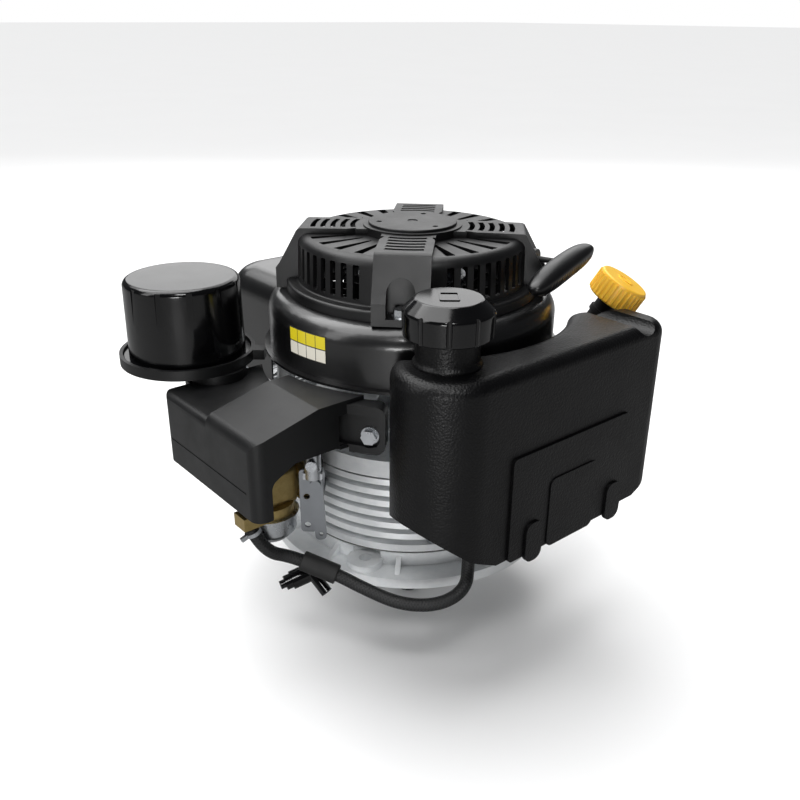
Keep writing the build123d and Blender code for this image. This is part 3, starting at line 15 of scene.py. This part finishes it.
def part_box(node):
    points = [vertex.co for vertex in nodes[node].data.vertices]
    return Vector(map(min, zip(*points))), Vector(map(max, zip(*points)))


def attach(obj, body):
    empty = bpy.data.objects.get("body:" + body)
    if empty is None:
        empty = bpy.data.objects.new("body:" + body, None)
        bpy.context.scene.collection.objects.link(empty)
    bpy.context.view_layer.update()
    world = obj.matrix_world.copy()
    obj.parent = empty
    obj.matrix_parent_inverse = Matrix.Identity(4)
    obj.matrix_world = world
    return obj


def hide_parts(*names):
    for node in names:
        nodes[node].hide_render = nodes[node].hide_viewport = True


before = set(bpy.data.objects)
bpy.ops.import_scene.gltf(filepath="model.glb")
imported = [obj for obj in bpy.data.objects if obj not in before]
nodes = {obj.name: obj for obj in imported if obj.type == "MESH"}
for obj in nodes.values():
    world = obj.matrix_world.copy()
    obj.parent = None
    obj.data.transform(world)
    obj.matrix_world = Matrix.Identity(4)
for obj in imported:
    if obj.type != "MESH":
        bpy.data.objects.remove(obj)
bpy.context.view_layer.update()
scene = bpy.context.scene

# %% [markdown]
# ## Camera
# The engine is seen from its front left corner, a little above the recoil starter. The camera is placed
# by the direction it looks in and its distance from a point inside the engine, so that each number can be
# read on its own. The slight roll is a hand-held camera's.

# %% Camera
AIM = Vector((-0.0463, -0.0418, 0.1334))
DISTANCE = 0.6615
AZIMUTH, ELEVATION, ROLL = radians(-40), radians(24), radians(0.45)
back = Vector((sin(AZIMUTH) * cos(ELEVATION), -cos(AZIMUTH) * cos(ELEVATION), sin(ELEVATION)))
camera = bpy.data.objects.new("camera", bpy.data.cameras.new("camera"))
camera.data.sensor_width = 36.0
camera.data.lens = 39.15
camera.data.clip_start = 0.01
camera.location = AIM + back * DISTANCE
camera.rotation_mode = "QUATERNION"
camera.rotation_quaternion = (-back).to_track_quat("-Z", "Y") @ Quaternion((0, 0, 1), ROLL)
scene.collection.objects.link(camera)
scene.camera = camera
print("camera at", [round(x, 3) for x in camera.location])

# %% [markdown]
# ## Fuel hose
# A braided rubber hose of 9.5 mm hangs from the tank's outlet, sags in front of the flange and rises to
# the carburettor. It is a NURBS spline of order 3, because that spline is as smooth as bent rubber and its
# few control points are easy to move. The tube is then worked out round the spline's own points: each ring
# is a circle in the plane across the line, and the frame is carried along without twist.

# %% Route of the hose
HOSE_R = 0.00475
HOSE_ROUTE = [(-52, -128, 48.5), (-52, -128, 34), (-62, -137, 21), (-82, -132, 13), (-103, -113, 12),
              (-118, -87, 19), (-128, -71, 26), (-149, -44, 37), (-170, -38, 47), (-176.8, -34, 67.6)]


def spline_points(name, route_mm):
    """Points of an order 3 NURBS spline whose control points are the route, turned from mm to metres."""
    curve = bpy.data.curves.new(name, "CURVE")
    curve.dimensions = "3D"
    curve.resolution_u = 24
    spline = curve.splines.new("NURBS")
    spline.points.add(len(route_mm) - 1)
    spline.points.foreach_set("co", np.c_[np.array(route_mm) / 1000, np.ones(len(route_mm))].ravel())
    spline.order_u = 3
    spline.use_endpoint_u = True
    holder = bpy.data.objects.new(name, curve)
    line = bpy.data.meshes.new_from_object(holder)
    points = np.empty(len(line.vertices) * 3)
    line.vertices.foreach_get("co", points)
    bpy.data.objects.remove(holder)
    bpy.data.meshes.remove(line)
    points = points.reshape(-1, 3)
    keep = np.r_[True, np.linalg.norm(np.diff(points, axis=0), axis=1) > 1e-6]
    return points[keep]


hose_line = spline_points("hose line", HOSE_ROUTE)
hose_steps = np.linalg.norm(np.diff(hose_line, axis=0), axis=1)
print("hose points:", len(hose_line), "length mm:", round(hose_steps.sum() * 1000, 1))


# %% [markdown]
# ## Surfaces from numbers
# Each new shape is a grid of points worked out at once with numpy. One function turns such a grid into a
# mesh, with its caps and its map, and another lays the grid round a line.

# %% Meshes worked out on a grid
def grid_mesh(name, points, across_closed, caps=False, uv=None, body="engine"):
    """A mesh whose vertices are points[i, j]. Quads join neighbours in i and j; j wraps round when closed,
    and the caps are one face over each end ring. uv[i, j] gives each corner its place on the surface."""
    rows, columns = points.shape[:2]
    spans = columns if across_closed else columns - 1
    i, j = np.meshgrid(np.arange(rows - 1), np.arange(spans), indexing="ij")
    right = (j + 1) % columns
    quads = np.stack([i * columns + j, i * columns + right,
                      (i + 1) * columns + right, (i + 1) * columns + j], -1)
    faces = quads.reshape(-1, 4).tolist()
    if caps:
        faces += [list(range(columns))[::-1], list(range((rows - 1) * columns, rows * columns))]
    mesh = bpy.data.meshes.new(name)
    mesh.from_pydata(points.reshape(-1, 3), [], faces)
    if uv is not None:
        layer = mesh.uv_layers.new(name="UVMap")
        corner = np.empty(len(mesh.loops), int)
        mesh.loops.foreach_get("vertex_index", corner)
        flat = uv.reshape(-1, 2)[corner]
        seam = np.zeros(len(corner), bool)
        seam[:quads.size] = (np.tile([0, 1, 1, 0], len(quads.reshape(-1, 4))) == 1) & \
            np.repeat((right == 0).ravel(), 4)
        flat[seam, 1] += 1.0
        layer.data.foreach_set("uv", flat.ravel())
    mesh.polygons.foreach_set("use_smooth", np.ones(len(mesh.polygons), bool))
    piece = bpy.data.objects.new(name, mesh)
    scene.collection.objects.link(piece)
    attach(piece, body)
    return piece


def tube_points(line, radius, around=32):
    """Rings along a line: ring i is radius times (cos t across + sin t up), and across is carried from ring
    to ring by taking away what has turned into the line's own direction."""
    ahead = np.gradient(line, axis=0)
    ahead /= np.linalg.norm(ahead, axis=1)[:, None]
    across = np.empty_like(ahead)
    side = np.cross(ahead[0], (0.0, 0.3, 1.0) if abs(ahead[0][2]) < 0.9 else (1.0, 0.2, 0.0))
    for k, forward in enumerate(ahead):
        side = side - forward * side.dot(forward)
        side /= np.linalg.norm(side)
        across[k] = side
    up = np.cross(ahead, across)
    turn = np.linspace(0, 2 * np.pi, around, endpoint=False)
    return line[:, None] + radius * (np.cos(turn)[None, :, None] * across[:, None] +
                                     np.sin(turn)[None, :, None] * up[:, None])


# %% [markdown]
# ## Mesh of the hose
# The tube gets a map of its own for the braid: centimetres along it, and turns round it.

# %% Fuel hose
HOSE_SIDES = 40
rings = tube_points(hose_line, HOSE_R, HOSE_SIDES)
along_cm = np.r_[0, np.cumsum(hose_steps)] * 100
round_turns = np.arange(HOSE_SIDES) / HOSE_SIDES
hose_uv = np.stack(np.broadcast_arrays(along_cm[:, None], round_turns[None]), -1)
fuel_hose = grid_mesh("braided_fuel_hose", rings, True, caps=True, uv=hose_uv)
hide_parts("fuel_hose")
print("hose faces:", len(fuel_hose.data.polygons))

# %% [markdown]
# ## Recoil handle
# The handle is a moulded leaf of nylon: smooth and gently crowned above, with finger ribs across its belly
# and ends that close in a soft point. A plain loft has no such shape, so it is one surface of two numbers:
# where along the grip, and which way round.

# %% Recoil handle
GRIP = np.array([0.9515, 0.2906, 0.1])
PULL = np.array([0.2921, -0.9563, 0.0])
UP = np.array([0.0, 0.0, 1.0])
HANDLE_SHIFT = -0.006
handle_middle = np.mean(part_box("recoil_handle"), axis=0) + HANDLE_SHIFT * GRIP


def handle_points(half_long=0.0505, half_deep=0.0098, half_tall=0.0112, rows=121, around=72):
    """A closed leaf: at s from -1 to 1 along the grip, the section is an ellipse whose size is the cube root
    of (1 - |s| cubed), flattened on top, and its middle rises with s squared. The lower half carries
    ribs: its radius gains 0.5 mm where the sine of the way along, 4.2 mm a turn, is high."""
    t = np.linspace(-1, 1, rows)
    s = np.sin(t * np.pi / 2)
    size = np.maximum(1 - np.abs(s) ** 3, 0) ** (1 / 3)
    size[[0, -1]] = 0.02
    turn = np.linspace(0, 2 * np.pi, around, endpoint=False)
    belly = np.clip(-np.sin(turn), 0, 1) ** 0.5
    ribs = 0.0005 * np.clip(np.sin(s * half_long / 0.0042 * 2 * np.pi) * 3, -1, 1) * (np.abs(s) < 0.8)
    deep = (half_deep * size)[:, None] * np.cos(turn)[None]
    deep = deep + ribs[:, None] * belly[None] * np.cos(turn)[None]
    crown = np.where(np.sin(turn) > 0, 0.62, 1.0) * np.sin(turn)
    tall = (half_tall * size ** 1.2)[:, None] * crown[None] + ribs[:, None] * (belly * np.sin(turn))[None]
    rise = 0.0016 * (1 - s ** 2)[:, None]
    return handle_middle + (half_long * s)[:, None, None] * GRIP + deep[..., None] * PULL + \
        (tall + rise)[..., None] * UP


handle = grid_mesh("recoil_grip", handle_points()[::-1], True, caps=True, body="handle")
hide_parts("recoil_handle")
print("handle faces:", len(handle.data.polygons), "middle:", handle_middle.round(4))

# %% [markdown]
# ## Light
# Dark plastic shows its shape by what it mirrors. One wide sheet of light above and behind the engine lays
# a grey sheen on every upward face, and a narrower one on the left draws the bright bands on the enamelled
# shroud. The front gets only a little fill, so that it stays black, and a low lamp reaches the fins.

# %% Colour and lamp helpers
def linear(colour):
    """An sRGB hex colour such as "#1A1B1C" as linear red, green, blue and alpha."""
    srgb = np.array([int(colour[k:k + 2], 16) for k in (1, 3, 5)]) / 255
    return (*np.where(srgb <= 0.04045, srgb / 12.92, ((srgb + 0.055) / 1.055) ** 2.4), 1.0)


def soft_light(name, spot, size, power, towards=(0, 0, 0.12), colour="#FFFFFF"):
    """A rectangular area light at spot, width and depth in size, turned towards a point."""
    lamp = bpy.data.lights.new(name, "AREA")
    lamp.shape = "RECTANGLE"
    lamp.size, lamp.size_y = size
    lamp.energy = power
    lamp.color = linear(colour)[:3]
    holder = bpy.data.objects.new(name, lamp)
    holder.location = spot
    holder.rotation_euler = (Vector(towards) - Vector(spot)).to_track_quat("-Z", "Y").to_euler()
    scene.collection.objects.link(holder)


# %% Lamps
soft_light("sheet above and behind", (0.35, 1.0, 1.55), (2.2, 1.3), 15)
soft_light("low sheet behind", (1.4, 1.7, 1.0), (2.6, 0.8), 11)
soft_light("band on the left", (-1.15, 0.25, 0.8), (0.35, 1.1), 4)
soft_light("high front key", (-0.75, -0.95, 1.45), (0.5, 0.3), 9)
soft_light("low strip for the fins", (-0.85, -0.75, 0.12), (0.3, 0.2), 3)
sky = bpy.data.lights.new("wide sky", "SUN")
sky.energy, sky.angle = 3.1, radians(60)
sky_holder = bpy.data.objects.new("wide sky", sky)
sky_holder.rotation_euler = (radians(-18), radians(-8), 0)
scene.collection.objects.link(sky_holder)

# %% [markdown]
# ## Backdrop and floor
# The camera sees a plain white room, while the engine's surfaces mirror a dim one, as they would with the
# studio lamps off to the sides. The floor is a large plain sheet, which the shadow falls on.

# %% Backdrop
world = bpy.data.worlds.new("studio")
scene.world = world
world.use_nodes = True
sky_tree = world.node_tree
backdrop = sky_tree.nodes["Background"]
seen = sky_tree.nodes.new("ShaderNodeLightPath")
shown = sky_tree.nodes.new("ShaderNodeMix")
shown.data_type = "RGBA"
shown.inputs[6].default_value = (0.06, 0.062, 0.065, 1.0)
shown.inputs[7].default_value = (1.0, 1.0, 1.0, 1.0)
sky_tree.links.new(seen.outputs["Is Camera Ray"], shown.inputs[0])
sky_tree.links.new(shown.outputs[2], backdrop.inputs["Color"])
scene.view_settings.view_transform = "Standard"

# %% Floor
floor_mesh = bpy.data.meshes.new("floor")
FLOOR_Z, FLOOR_HALF = -0.0812, 40.0
corners = [(x * FLOOR_HALF, y * FLOOR_HALF, FLOOR_Z) for x, y in ((-1, -1), (1, -1), (1, 1), (-1, 1))]
floor_mesh.from_pydata(corners, [], [(0, 1, 2, 3)])
floor = bpy.data.objects.new("floor", floor_mesh)
scene.collection.objects.link(floor)


# %% [markdown]
# ## How a finish is made
# Each finish starts in the same way: two close shades drift into each other over a few centimetres, the
# roughness drifts a little too, as handling and dust make it, and a fine grain raises the surface. What
# makes one finish differ from the next is added after that, in its own cell.

# %% Helpers for finishes
def add(tree, kind, values=(), links=(), **settings):
    """Adds one node with its settings, its unlinked values by socket, and its links by socket."""
    made = tree.nodes.new(kind)
    for name, value in settings.items():
        setattr(made, name, value)
    for socket, value in dict(values).items():
        made.inputs[socket].default_value = value
    for socket, source in dict(links).items():
        tree.links.new(source, made.inputs[socket])
    return made


def arithmetic(tree, operation, first, second=None):
    """The output of one Math node. The first input is a link; the second is a link or a plain number."""
    links, values = {0: first}, {}
    if second is not None:
        (values if isinstance(second, float) else links)[1] = second
    return add(tree, "ShaderNodeMath", values, links, operation=operation).outputs[0]


def finish(name, shades, rough, patch_mm=30, grain_mm=0.8, grain_depth_mm=0.02, **sockets):
    """A shader whose colour drifts between two hex shades and whose roughness drifts between two values over
    patches of patch_mm, with a raised grain of grain_mm. Returns the material, its tree, shader, the Object
    coordinates, the grain's bump and the colour mix, so that more can be added."""
    material = bpy.data.materials.new(name)
    material.use_nodes = True
    tree = material.node_tree
    shader = tree.nodes["Principled BSDF"]
    for socket, value in sockets.items():
        shader.inputs[socket.replace("_", " ")].default_value = value
    place = add(tree, "ShaderNodeTexCoord").outputs["Object"]
    patches = add(tree, "ShaderNodeTexNoise", {"Scale": 1000 / patch_mm, "Detail": 4.0, "Roughness": 0.6},
                  {"Vector": place})
    colour = add(tree, "ShaderNodeMix", data_type="RGBA")
    colour.inputs[6].default_value, colour.inputs[7].default_value = linear(shades[0]), linear(shades[1])
    tree.links.new(patches.outputs["Fac"], colour.inputs[0])
    tree.links.new(colour.outputs[2], shader.inputs["Base Color"])
    drift = add(tree, "ShaderNodeMapRange",
                {"From Min": 0.3, "From Max": 0.7, "To Min": rough[0], "To Max": rough[1]},
                {"Value": patches.outputs["Fac"]})
    tree.links.new(drift.outputs["Result"], shader.inputs["Roughness"])
    grain = add(tree, "ShaderNodeTexNoise", {"Scale": 1000 / grain_mm, "Detail": 2.0, "Roughness": 0.5},
                {"Vector": place})
    bump = add(tree, "ShaderNodeBump", {"Strength": 1.0, "Distance": grain_depth_mm / 1000},
               {"Height": grain.outputs["Fac"]})
    tree.links.new(bump.outputs["Normal"], shader.inputs["Normal"])
    return material, tree, shader, place, bump, colour


# %% [markdown]
# ## Floor paper
# To the camera the floor is the palest grey. What bounces off it onto the engine is held back to a middle
# grey, because a sheet this close would light the undersides and fronts far too much.

# %% Floor paper
pale_floor, tree, shader, place, bump, colour = finish("Pale matt floor paper", ("#F2F2F2", "#F5F5F5"),
                                                      (0.85, 0.9), 400, 2, 0.02)
in_view = add(tree, "ShaderNodeLightPath")
paper = add(tree, "ShaderNodeMix", data_type="RGBA")
paper.inputs[6].default_value = linear("#8A8A8A")
tree.links.new(in_view.outputs["Is Camera Ray"], paper.inputs[0])
tree.links.new(colour.outputs[2], paper.inputs[7])
tree.links.new(paper.outputs[2], shader.inputs["Base Color"])
floor.data.materials.append(pale_floor)
made = {}
print(pale_floor.name, len(tree.nodes), "nodes")

# %% [markdown]
# ## Cast aluminium
# The crankcase, sump and head are die cast. The skin of such a casting is a blue grey with darker, duller
# places where the mould release burnt on, fine pits, and brighter metal where edges were trimmed. Corners
# and recesses get painted shade: ambient occlusion darkens the colour where less light reaches them.

# %% Cast aluminium
cast, tree, shader, place, bump, colour = finish(
    "Die cast aluminium", ("#E2E6E9", "#FCFDFD"), (0.3, 0.44), 7, 0.9, 0.05, Metallic=0.25)
# Painted shade: the ambient occlusion darkens the cast colour in corners and recesses.
occlusion = add(tree, "ShaderNodeAmbientOcclusion", {"Distance": 0.006}, samples=6)
painted_corner_shade = add(tree, "ShaderNodeMix", data_type="RGBA", blend_type="MULTIPLY")
painted_corner_shade.inputs[0].default_value = 1.0
shade = add(tree, "ShaderNodeMapRange", {"From Min": 0.1, "From Max": 0.7, "To Min": 0.6, "To Max": 1.0},
            {"Value": occlusion.outputs["AO"]})
tree.links.new(colour.outputs[2], painted_corner_shade.inputs[6])
tree.links.new(shade.outputs["Result"], painted_corner_shade.inputs[7])
tree.links.new(painted_corner_shade.outputs[2], shader.inputs["Base Color"])
pits = add(tree, "ShaderNodeTexVoronoi", {"Scale": 420.0, "Randomness": 1.0}, {"Vector": place})
pit_depth = add(tree, "ShaderNodeMapRange", {"From Min": 0.0, "From Max": 0.25},
                {"Value": pits.outputs["Distance"]})
pitted = add(tree, "ShaderNodeBump", {"Strength": 0.35, "Distance": 0.00012},
             {"Height": pit_depth.outputs["Result"], "Normal": bump.outputs["Normal"]})
tree.links.new(pitted.outputs["Normal"], shader.inputs["Normal"])
made["cast aluminium"] = cast
print(cast.name, len(tree.nodes), "nodes")

# %% [markdown]
# ## Machined metals
# The crankshaft is turned steel, the flywheel and piston are turned aluminium. Turning leaves rings round
# the axis: a wave texture in rings about Z, very shallow, stretches the highlights in the same way.

# %% Machined metals
for name, shades, rough, rings_mm in (("Turned steel", ("#A9ABAE", "#C4C6C8"), (0.24, 0.34), 0.7),
                                      ("Turned aluminium", ("#B9BDC1", "#D2D6D9"), (0.28, 0.4), 0.9)):
    metal, tree, shader, place, bump, colour = finish(name, shades, rough, 16, 0.3, 0.006, Metallic=1.0)
    turning = add(tree, "ShaderNodeTexWave", {"Scale": 1000 / rings_mm / 20, "Distortion": 0.4, "Detail": 1.0},
                  {"Vector": place}, wave_type="RINGS", rings_direction="Z")
    cut = add(tree, "ShaderNodeBump", {"Strength": 0.5, "Distance": 0.00001},
              {"Height": turning.outputs["Fac"], "Normal": bump.outputs["Normal"]})
    tree.links.new(cut.outputs["Normal"], shader.inputs["Normal"])
    made[name] = metal
made["cast iron"] = finish("Honed cast iron", ("#3A3B3D", "#55565A"), (0.4, 0.55), 6, 0.5, 0.03, Metallic=0.85)[0]
made["bronze"] = finish("Sintered bronze", ("#8A6238", "#A97B48"), (0.42, 0.55), 5, 0.35, 0.03, Metallic=0.9)[0]
made["spring steel"] = finish("Blued spring steel", ("#2B3140", "#474C58"), (0.26, 0.4), 12, 0.4, 0.006,
                              Metallic=1.0)[0]
print("machined metals:", len(made))

# %% [markdown]
# ## Zinc plate
# Screws, clamps and the speed control are steel with a thin bright zinc plate. Zinc is a cool white metal,
# and its clear passivation adds a trace of blue and yellow that drifts over a few millimetres. The
# carburettor's die casting has the thicker yellow passivation, which gives it the colour of straw.

# %% Zinc plate and yellow passivation
made["zinc"] = finish("Bright zinc plated steel", ("#B9BCC0", "#C9CCCF"), (0.24, 0.34), 7, 0.35, 0.006,
                      Metallic=1.0)[0]
made["dull zinc"] = finish("Dull zinc plated sheet steel", ("#83868A", "#94979B"), (0.42, 0.55), 12, 0.5, 0.004,
                           Metallic=0.9)[0]
made["passivated"] = finish("Yellow passivated zinc alloy", ("#8F7A48", "#C9B27A"), (0.3, 0.46), 5, 0.7, 0.05,
                            Metallic=0.95)[0]
print("zinc finishes done, in all:", len(made))

# %% [markdown]
# ## Gloss enamel
# The blower housing is pressed steel, dipped and stoved in black enamel. Enamel is smooth as glass up
# close, but its surface has the long shallow waves called orange peel, which make straight reflections
# tremble, and a clear topcoat over it keeps the reflections sharp.

# %% Gloss enamel
enamel, tree, shader, place, bump, colour = finish(
    "Black stoved enamel", ("#040405", "#070708"), (0.3, 0.38), 60, 3.2, 0.006,
    Coat_Weight=0.6, Coat_Roughness=0.16)
tree.links.new(bump.outputs["Normal"], shader.inputs["Coat Normal"])
made["enamel"] = enamel
made["heat black"] = finish("Heat resistant black paint", ("#141414", "#242322"), (0.5, 0.68), 14, 0.6, 0.05)[0]
print(enamel.name, len(tree.nodes), "nodes")

# %% [markdown]
# ## Black plastics
# Four blacks sit side by side here and none is the same. The recoil starter and the handle are glass
# filled nylon from a spark eroded mould, satin with a fine grain. The cleaner's base is polypropylene with
# a duller skin. The cleaner's canister and the fuel cap are polished ABS. The tank is blow moulded
# polyethylene, whose pebbles come from a sand blasted mould and are the coarsest of all.

# %% Nylon, polypropylene and ABS
made["nylon"] = finish("Black glass filled nylon", ("#050506", "#0B0B0C"), (0.36, 0.46), 22, 0.8, 0.04)[0]
made["polypropylene"] = finish("Black polypropylene", ("#060607", "#0C0D0E"), (0.38, 0.5), 26, 0.9, 0.05,
                               Specular_IOR_Level=0.42)[0]
made["abs"] = finish("Black polished ABS", ("#040405", "#070708"), (0.1, 0.18), 34, 2.4, 0.005)[0]
made["handle"] = finish("Black smooth nylon", ("#060607", "#0B0B0C"), (0.28, 0.38), 20, 0.7, 0.015)[0]

# %% [markdown]
# ## Pebbled tank skin
# Rounded cells make the pebbles: a smooth Voronoi pattern about 1.6 mm across, turned so that each cell
# stands up. It is the one plastic here whose texture shows from a metre away.

# %% Pebbled polyethylene
tank_skin, tree, shader, place, bump, colour = finish(
    "Blow moulded black polyethylene", ("#020203", "#050506"), (0.36, 0.46), 34, 0.7, 0.02,
    Specular_IOR_Level=0.3)
pebbles = add(tree, "ShaderNodeTexVoronoi", {"Scale": 640.0, "Smoothness": 0.6, "Randomness": 1.0},
              {"Vector": place}, feature="SMOOTH_F1")
pebbled = add(tree, "ShaderNodeBump", {"Strength": 0.9, "Distance": 0.00026},
              {"Height": pebbles.outputs["Distance"], "Normal": bump.outputs["Normal"]})
pebbled.invert = True
tree.links.new(pebbled.outputs["Normal"], shader.inputs["Normal"])
made["polyethylene"] = tank_skin
print("finishes so far:", len(made))

# %% [markdown]
# ## Yellow oil cap, rubbers, paper and the rest
# The filler's cap is nylon in a warm yellow so that it is found at once. Light goes a millimetre into it,
# so it gets a little subsurface scattering.

# %% Yellow nylon
made["yellow"] = finish("Yellow nylon", ("#FFC02C", "#FFD052"), (0.3, 0.4), 18, 0.6, 0.02,
                        Subsurface_Weight=0.15, Subsurface_Scale=0.002)[0]
made["rubber"] = finish("Black rubber", ("#101010", "#1C1C1C"), (0.55, 0.7), 12, 0.5, 0.03)[0]
made["gasket"] = finish("Fibre gasket", ("#3A3936", "#55534E"), (0.75, 0.85), 5, 0.4, 0.05)[0]
made["paper"] = finish("Resin treated filter paper", ("#C9B78C", "#DCCDA6"), (0.7, 0.8), 6, 0.3, 0.03)[0]
print("finishes so far:", len(made))

# %% [markdown]
# ## Braided hose
# The hose has a knitted textile cover pressed into the rubber. Two sets of yarns cross: each is a wave
# across the hose's own map, one leaning left and the other right, and the higher of the two shows. The
# yarns are 1.2 mm wide, close to real ones. The map's first number counts centimetres along the hose.

# %% Helper for braids
def braid(name, shades, turns, per_cm, depth_mm, rough):
    """Two families of slanted ridges: sine of (per_cm times the way along plus or minus turns times the way
    round), the higher of the two taken as height; the ridge tops get a painted highlight, the grooves painted
    shade."""
    material, tree, shader, place, bump, colour = finish(name, shades, rough, 8, 0.4, 0.02)
    uv = add(tree, "ShaderNodeTexCoord").outputs["UV"]
    parts = add(tree, "ShaderNodeSeparateXYZ", links={"Vector": uv})
    ridges = []
    for lean in (1, -1):
        run = arithmetic(tree, "MULTIPLY", parts.outputs["X"], per_cm * 2 * np.pi)
        turn = arithmetic(tree, "MULTIPLY", parts.outputs["Y"], lean * turns * 2 * np.pi)
        ridges.append(arithmetic(tree, "SINE", arithmetic(tree, "ADD", run, turn)))
    top = arithmetic(tree, "MAXIMUM", *ridges)
    raised = add(tree, "ShaderNodeBump", {"Strength": 1.0, "Distance": depth_mm / 1000},
                 {"Height": top, "Normal": bump.outputs["Normal"]})
    tree.links.new(raised.outputs["Normal"], shader.inputs["Normal"])
    # Painted highlight and shade: the ridge tops are painted paler and the grooves between the yarns darker.
    painted_yarn_light = add(tree, "ShaderNodeMapRange", {"From Min": 0.0, "From Max": 1.0}, {"Value": top})
    tree.links.new(painted_yarn_light.outputs["Result"], colour.inputs[0])
    return material


# %% Hose and rope
made["braid"] = braid("Braided hose cover", ("#050506", "#1A1B1C"), 8, 4.2, 0.12, (0.42, 0.55))
rope_finish, tree, shader, place, bump, colour = finish("Braided polyester rope", ("#161616", "#2A2A2A"),
                                                        (0.6, 0.75), 4, 0.5, 0.05)
strands = add(tree, "ShaderNodeTexWave", {"Scale": 60.0, "Distortion": 1.5, "Detail": 1.0}, {"Vector": place},
              bands_direction="DIAGONAL")
twist = add(tree, "ShaderNodeBump", {"Strength": 0.8, "Distance": 0.0003},
            {"Height": strands.outputs["Fac"], "Normal": bump.outputs["Normal"]})
tree.links.new(twist.outputs["Normal"], shader.inputs["Normal"])
made["rope"] = rope_finish
fuel_hose.data.materials.append(made["braid"])
handle.data.materials.append(made["handle"])
print("hose and rope:", made["braid"].name, "and", rope_finish.name)

# %% [markdown]
# ## Blank label
# A printed film wraps the shroud. Its upper half is yellow and its lower half white, ruled into plain
# fields, and it carries no words or signs. The height above the flange picks the band, and the angle round
# the crankshaft picks the field.

# %% Blank label
LABEL_LOW, LABEL_HIGH = 0.1755, 0.1955
LABEL_FROM, LABEL_TO = radians(178.6), radians(197.4)
LABEL_SPLIT = LABEL_LOW + 0.48 * (LABEL_HIGH - LABEL_LOW)
FIELDS_ACROSS, FIELDS_UP = 4.0, 2.0
film, tree, shader, place, bump, colour = finish(
    "Printed vinyl film", ("#E3CF1C", "#E8D626"), (0.28, 0.36), 10, 0.8, 0.004,
    Coat_Weight=0.4, Coat_Roughness=0.15)
parts = add(tree, "ShaderNodeSeparateXYZ", links={"Vector": place})
band = add(tree, "ShaderNodeMix", data_type="RGBA")
band.inputs[6].default_value = linear("#E9E4D6")
tree.links.new(arithmetic(tree, "GREATER_THAN", parts.outputs["Z"], LABEL_SPLIT), band.inputs[0])
tree.links.new(colour.outputs[2], band.inputs[7])
from_back = [arithmetic(tree, "MULTIPLY", parts.outputs[axis], -1.0) for axis in ("Y", "X")]
angle = arithmetic(tree, "ARCTAN2", *from_back)


# %% Ruled fields
def ruled_lines(value, low, high, fields, edge):
    """1 within a thin line at each whole number, where low to high is counted in fields, else 0."""
    counted = add(tree, "ShaderNodeMapRange",
                  {"From Min": low, "From Max": high, "To Min": 0.0, "To Max": fields},
                  {"Value": value}, clamp=False)
    off_middle = arithmetic(tree, "SUBTRACT", arithmetic(tree, "FRACT", counted.outputs["Result"]), 0.5)
    return arithmetic(tree, "GREATER_THAN", arithmetic(tree, "ABSOLUTE", off_middle), edge)


across_lines = ruled_lines(angle, LABEL_FROM - np.pi, LABEL_TO - np.pi, FIELDS_ACROSS, 0.47)
level_lines = ruled_lines(parts.outputs["Z"], LABEL_LOW, LABEL_HIGH, FIELDS_UP, 0.46)
printed = add(tree, "ShaderNodeMix", data_type="RGBA")
printed.inputs[7].default_value = linear("#2A2A26")
tree.links.new(arithmetic(tree, "MAXIMUM", across_lines, level_lines), printed.inputs[0])
tree.links.new(band.outputs[2], printed.inputs[6])
tree.links.new(printed.outputs[2], shader.inputs["Base Color"])
made["label"] = film
print(film.name, len(tree.nodes), "nodes")

# %% [markdown]
# ## Who wears what
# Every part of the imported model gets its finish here. The parts come as loose triangles, so a Weld modifier
# joins them, Edge Split keeps the corners sharp, and Weighted Normal lets the large flat faces keep their
# own direction while the rounded edges catch a smooth highlight.

# %% Finishes on the parts
WEARS = {
    "cast aluminium": "sump crankcase cylinder_head",
    "Turned aluminium": "flywheel piston connecting_rod",
    "Turned steel": "crankshaft crank_gear camshaft piston_pin",
    "cast iron": "cylinder_liner piston_rings",
    "bronze": "main_bushes",
    "spring steel": "recoil_spring",
    "zinc": "sump_screws head_bolts spark_plug starter_cup flywheel_nut float_bowl throttle_shaft hose_clamps "
            "cable_clamp m6_bolts",
    "dull zinc": "control_plate governor_lever",
    "passivated": "carburettor",
    "enamel": "blower_housing valve_cover",
    "heat black": "muffler muffler_guard",
    "nylon": "recoil_housing centre_disc recoil_pulley cooling_fan ignition_coil",
    "handle": "recoil_handle",
    "polypropylene": "air_box filter_base intake_pipe oil_filler_tube",
    "abs": "filter_cover fuel_cap rope_guide fuel_outlet drain_connector",
    "polyethylene": "fuel_tank",
    "yellow": "oil_cap dipstick",
    "rubber": "oil_seals cap_seal hose_sleeve",
    "gasket": "sump_gasket head_gasket",
    "paper": "filter_element",
    "braid": "fuel_hose",
    "rope": "rope_winding recoil_rope rope_knot",
    "label": "label",
}
dressed = set()
for wear, names in WEARS.items():
    for name in names.split():
        part = nodes[name]
        part.data.materials.clear()
        part.data.materials.append(made[wear])
        part.data.polygons.foreach_set("use_smooth", np.ones(len(part.data.polygons), bool))
        part.modifiers.new("join", "WELD").merge_threshold = 0.000005
        split = part.modifiers.new("corners", "EDGE_SPLIT")
        split.split_angle = radians(28)
        split.use_edge_sharp = False
        part.modifiers.new("flats", "WEIGHTED_NORMAL").keep_sharp = True
        dressed.add(name)
print("dressed:", len(dressed), "bare:", sorted(set(nodes) - dressed))
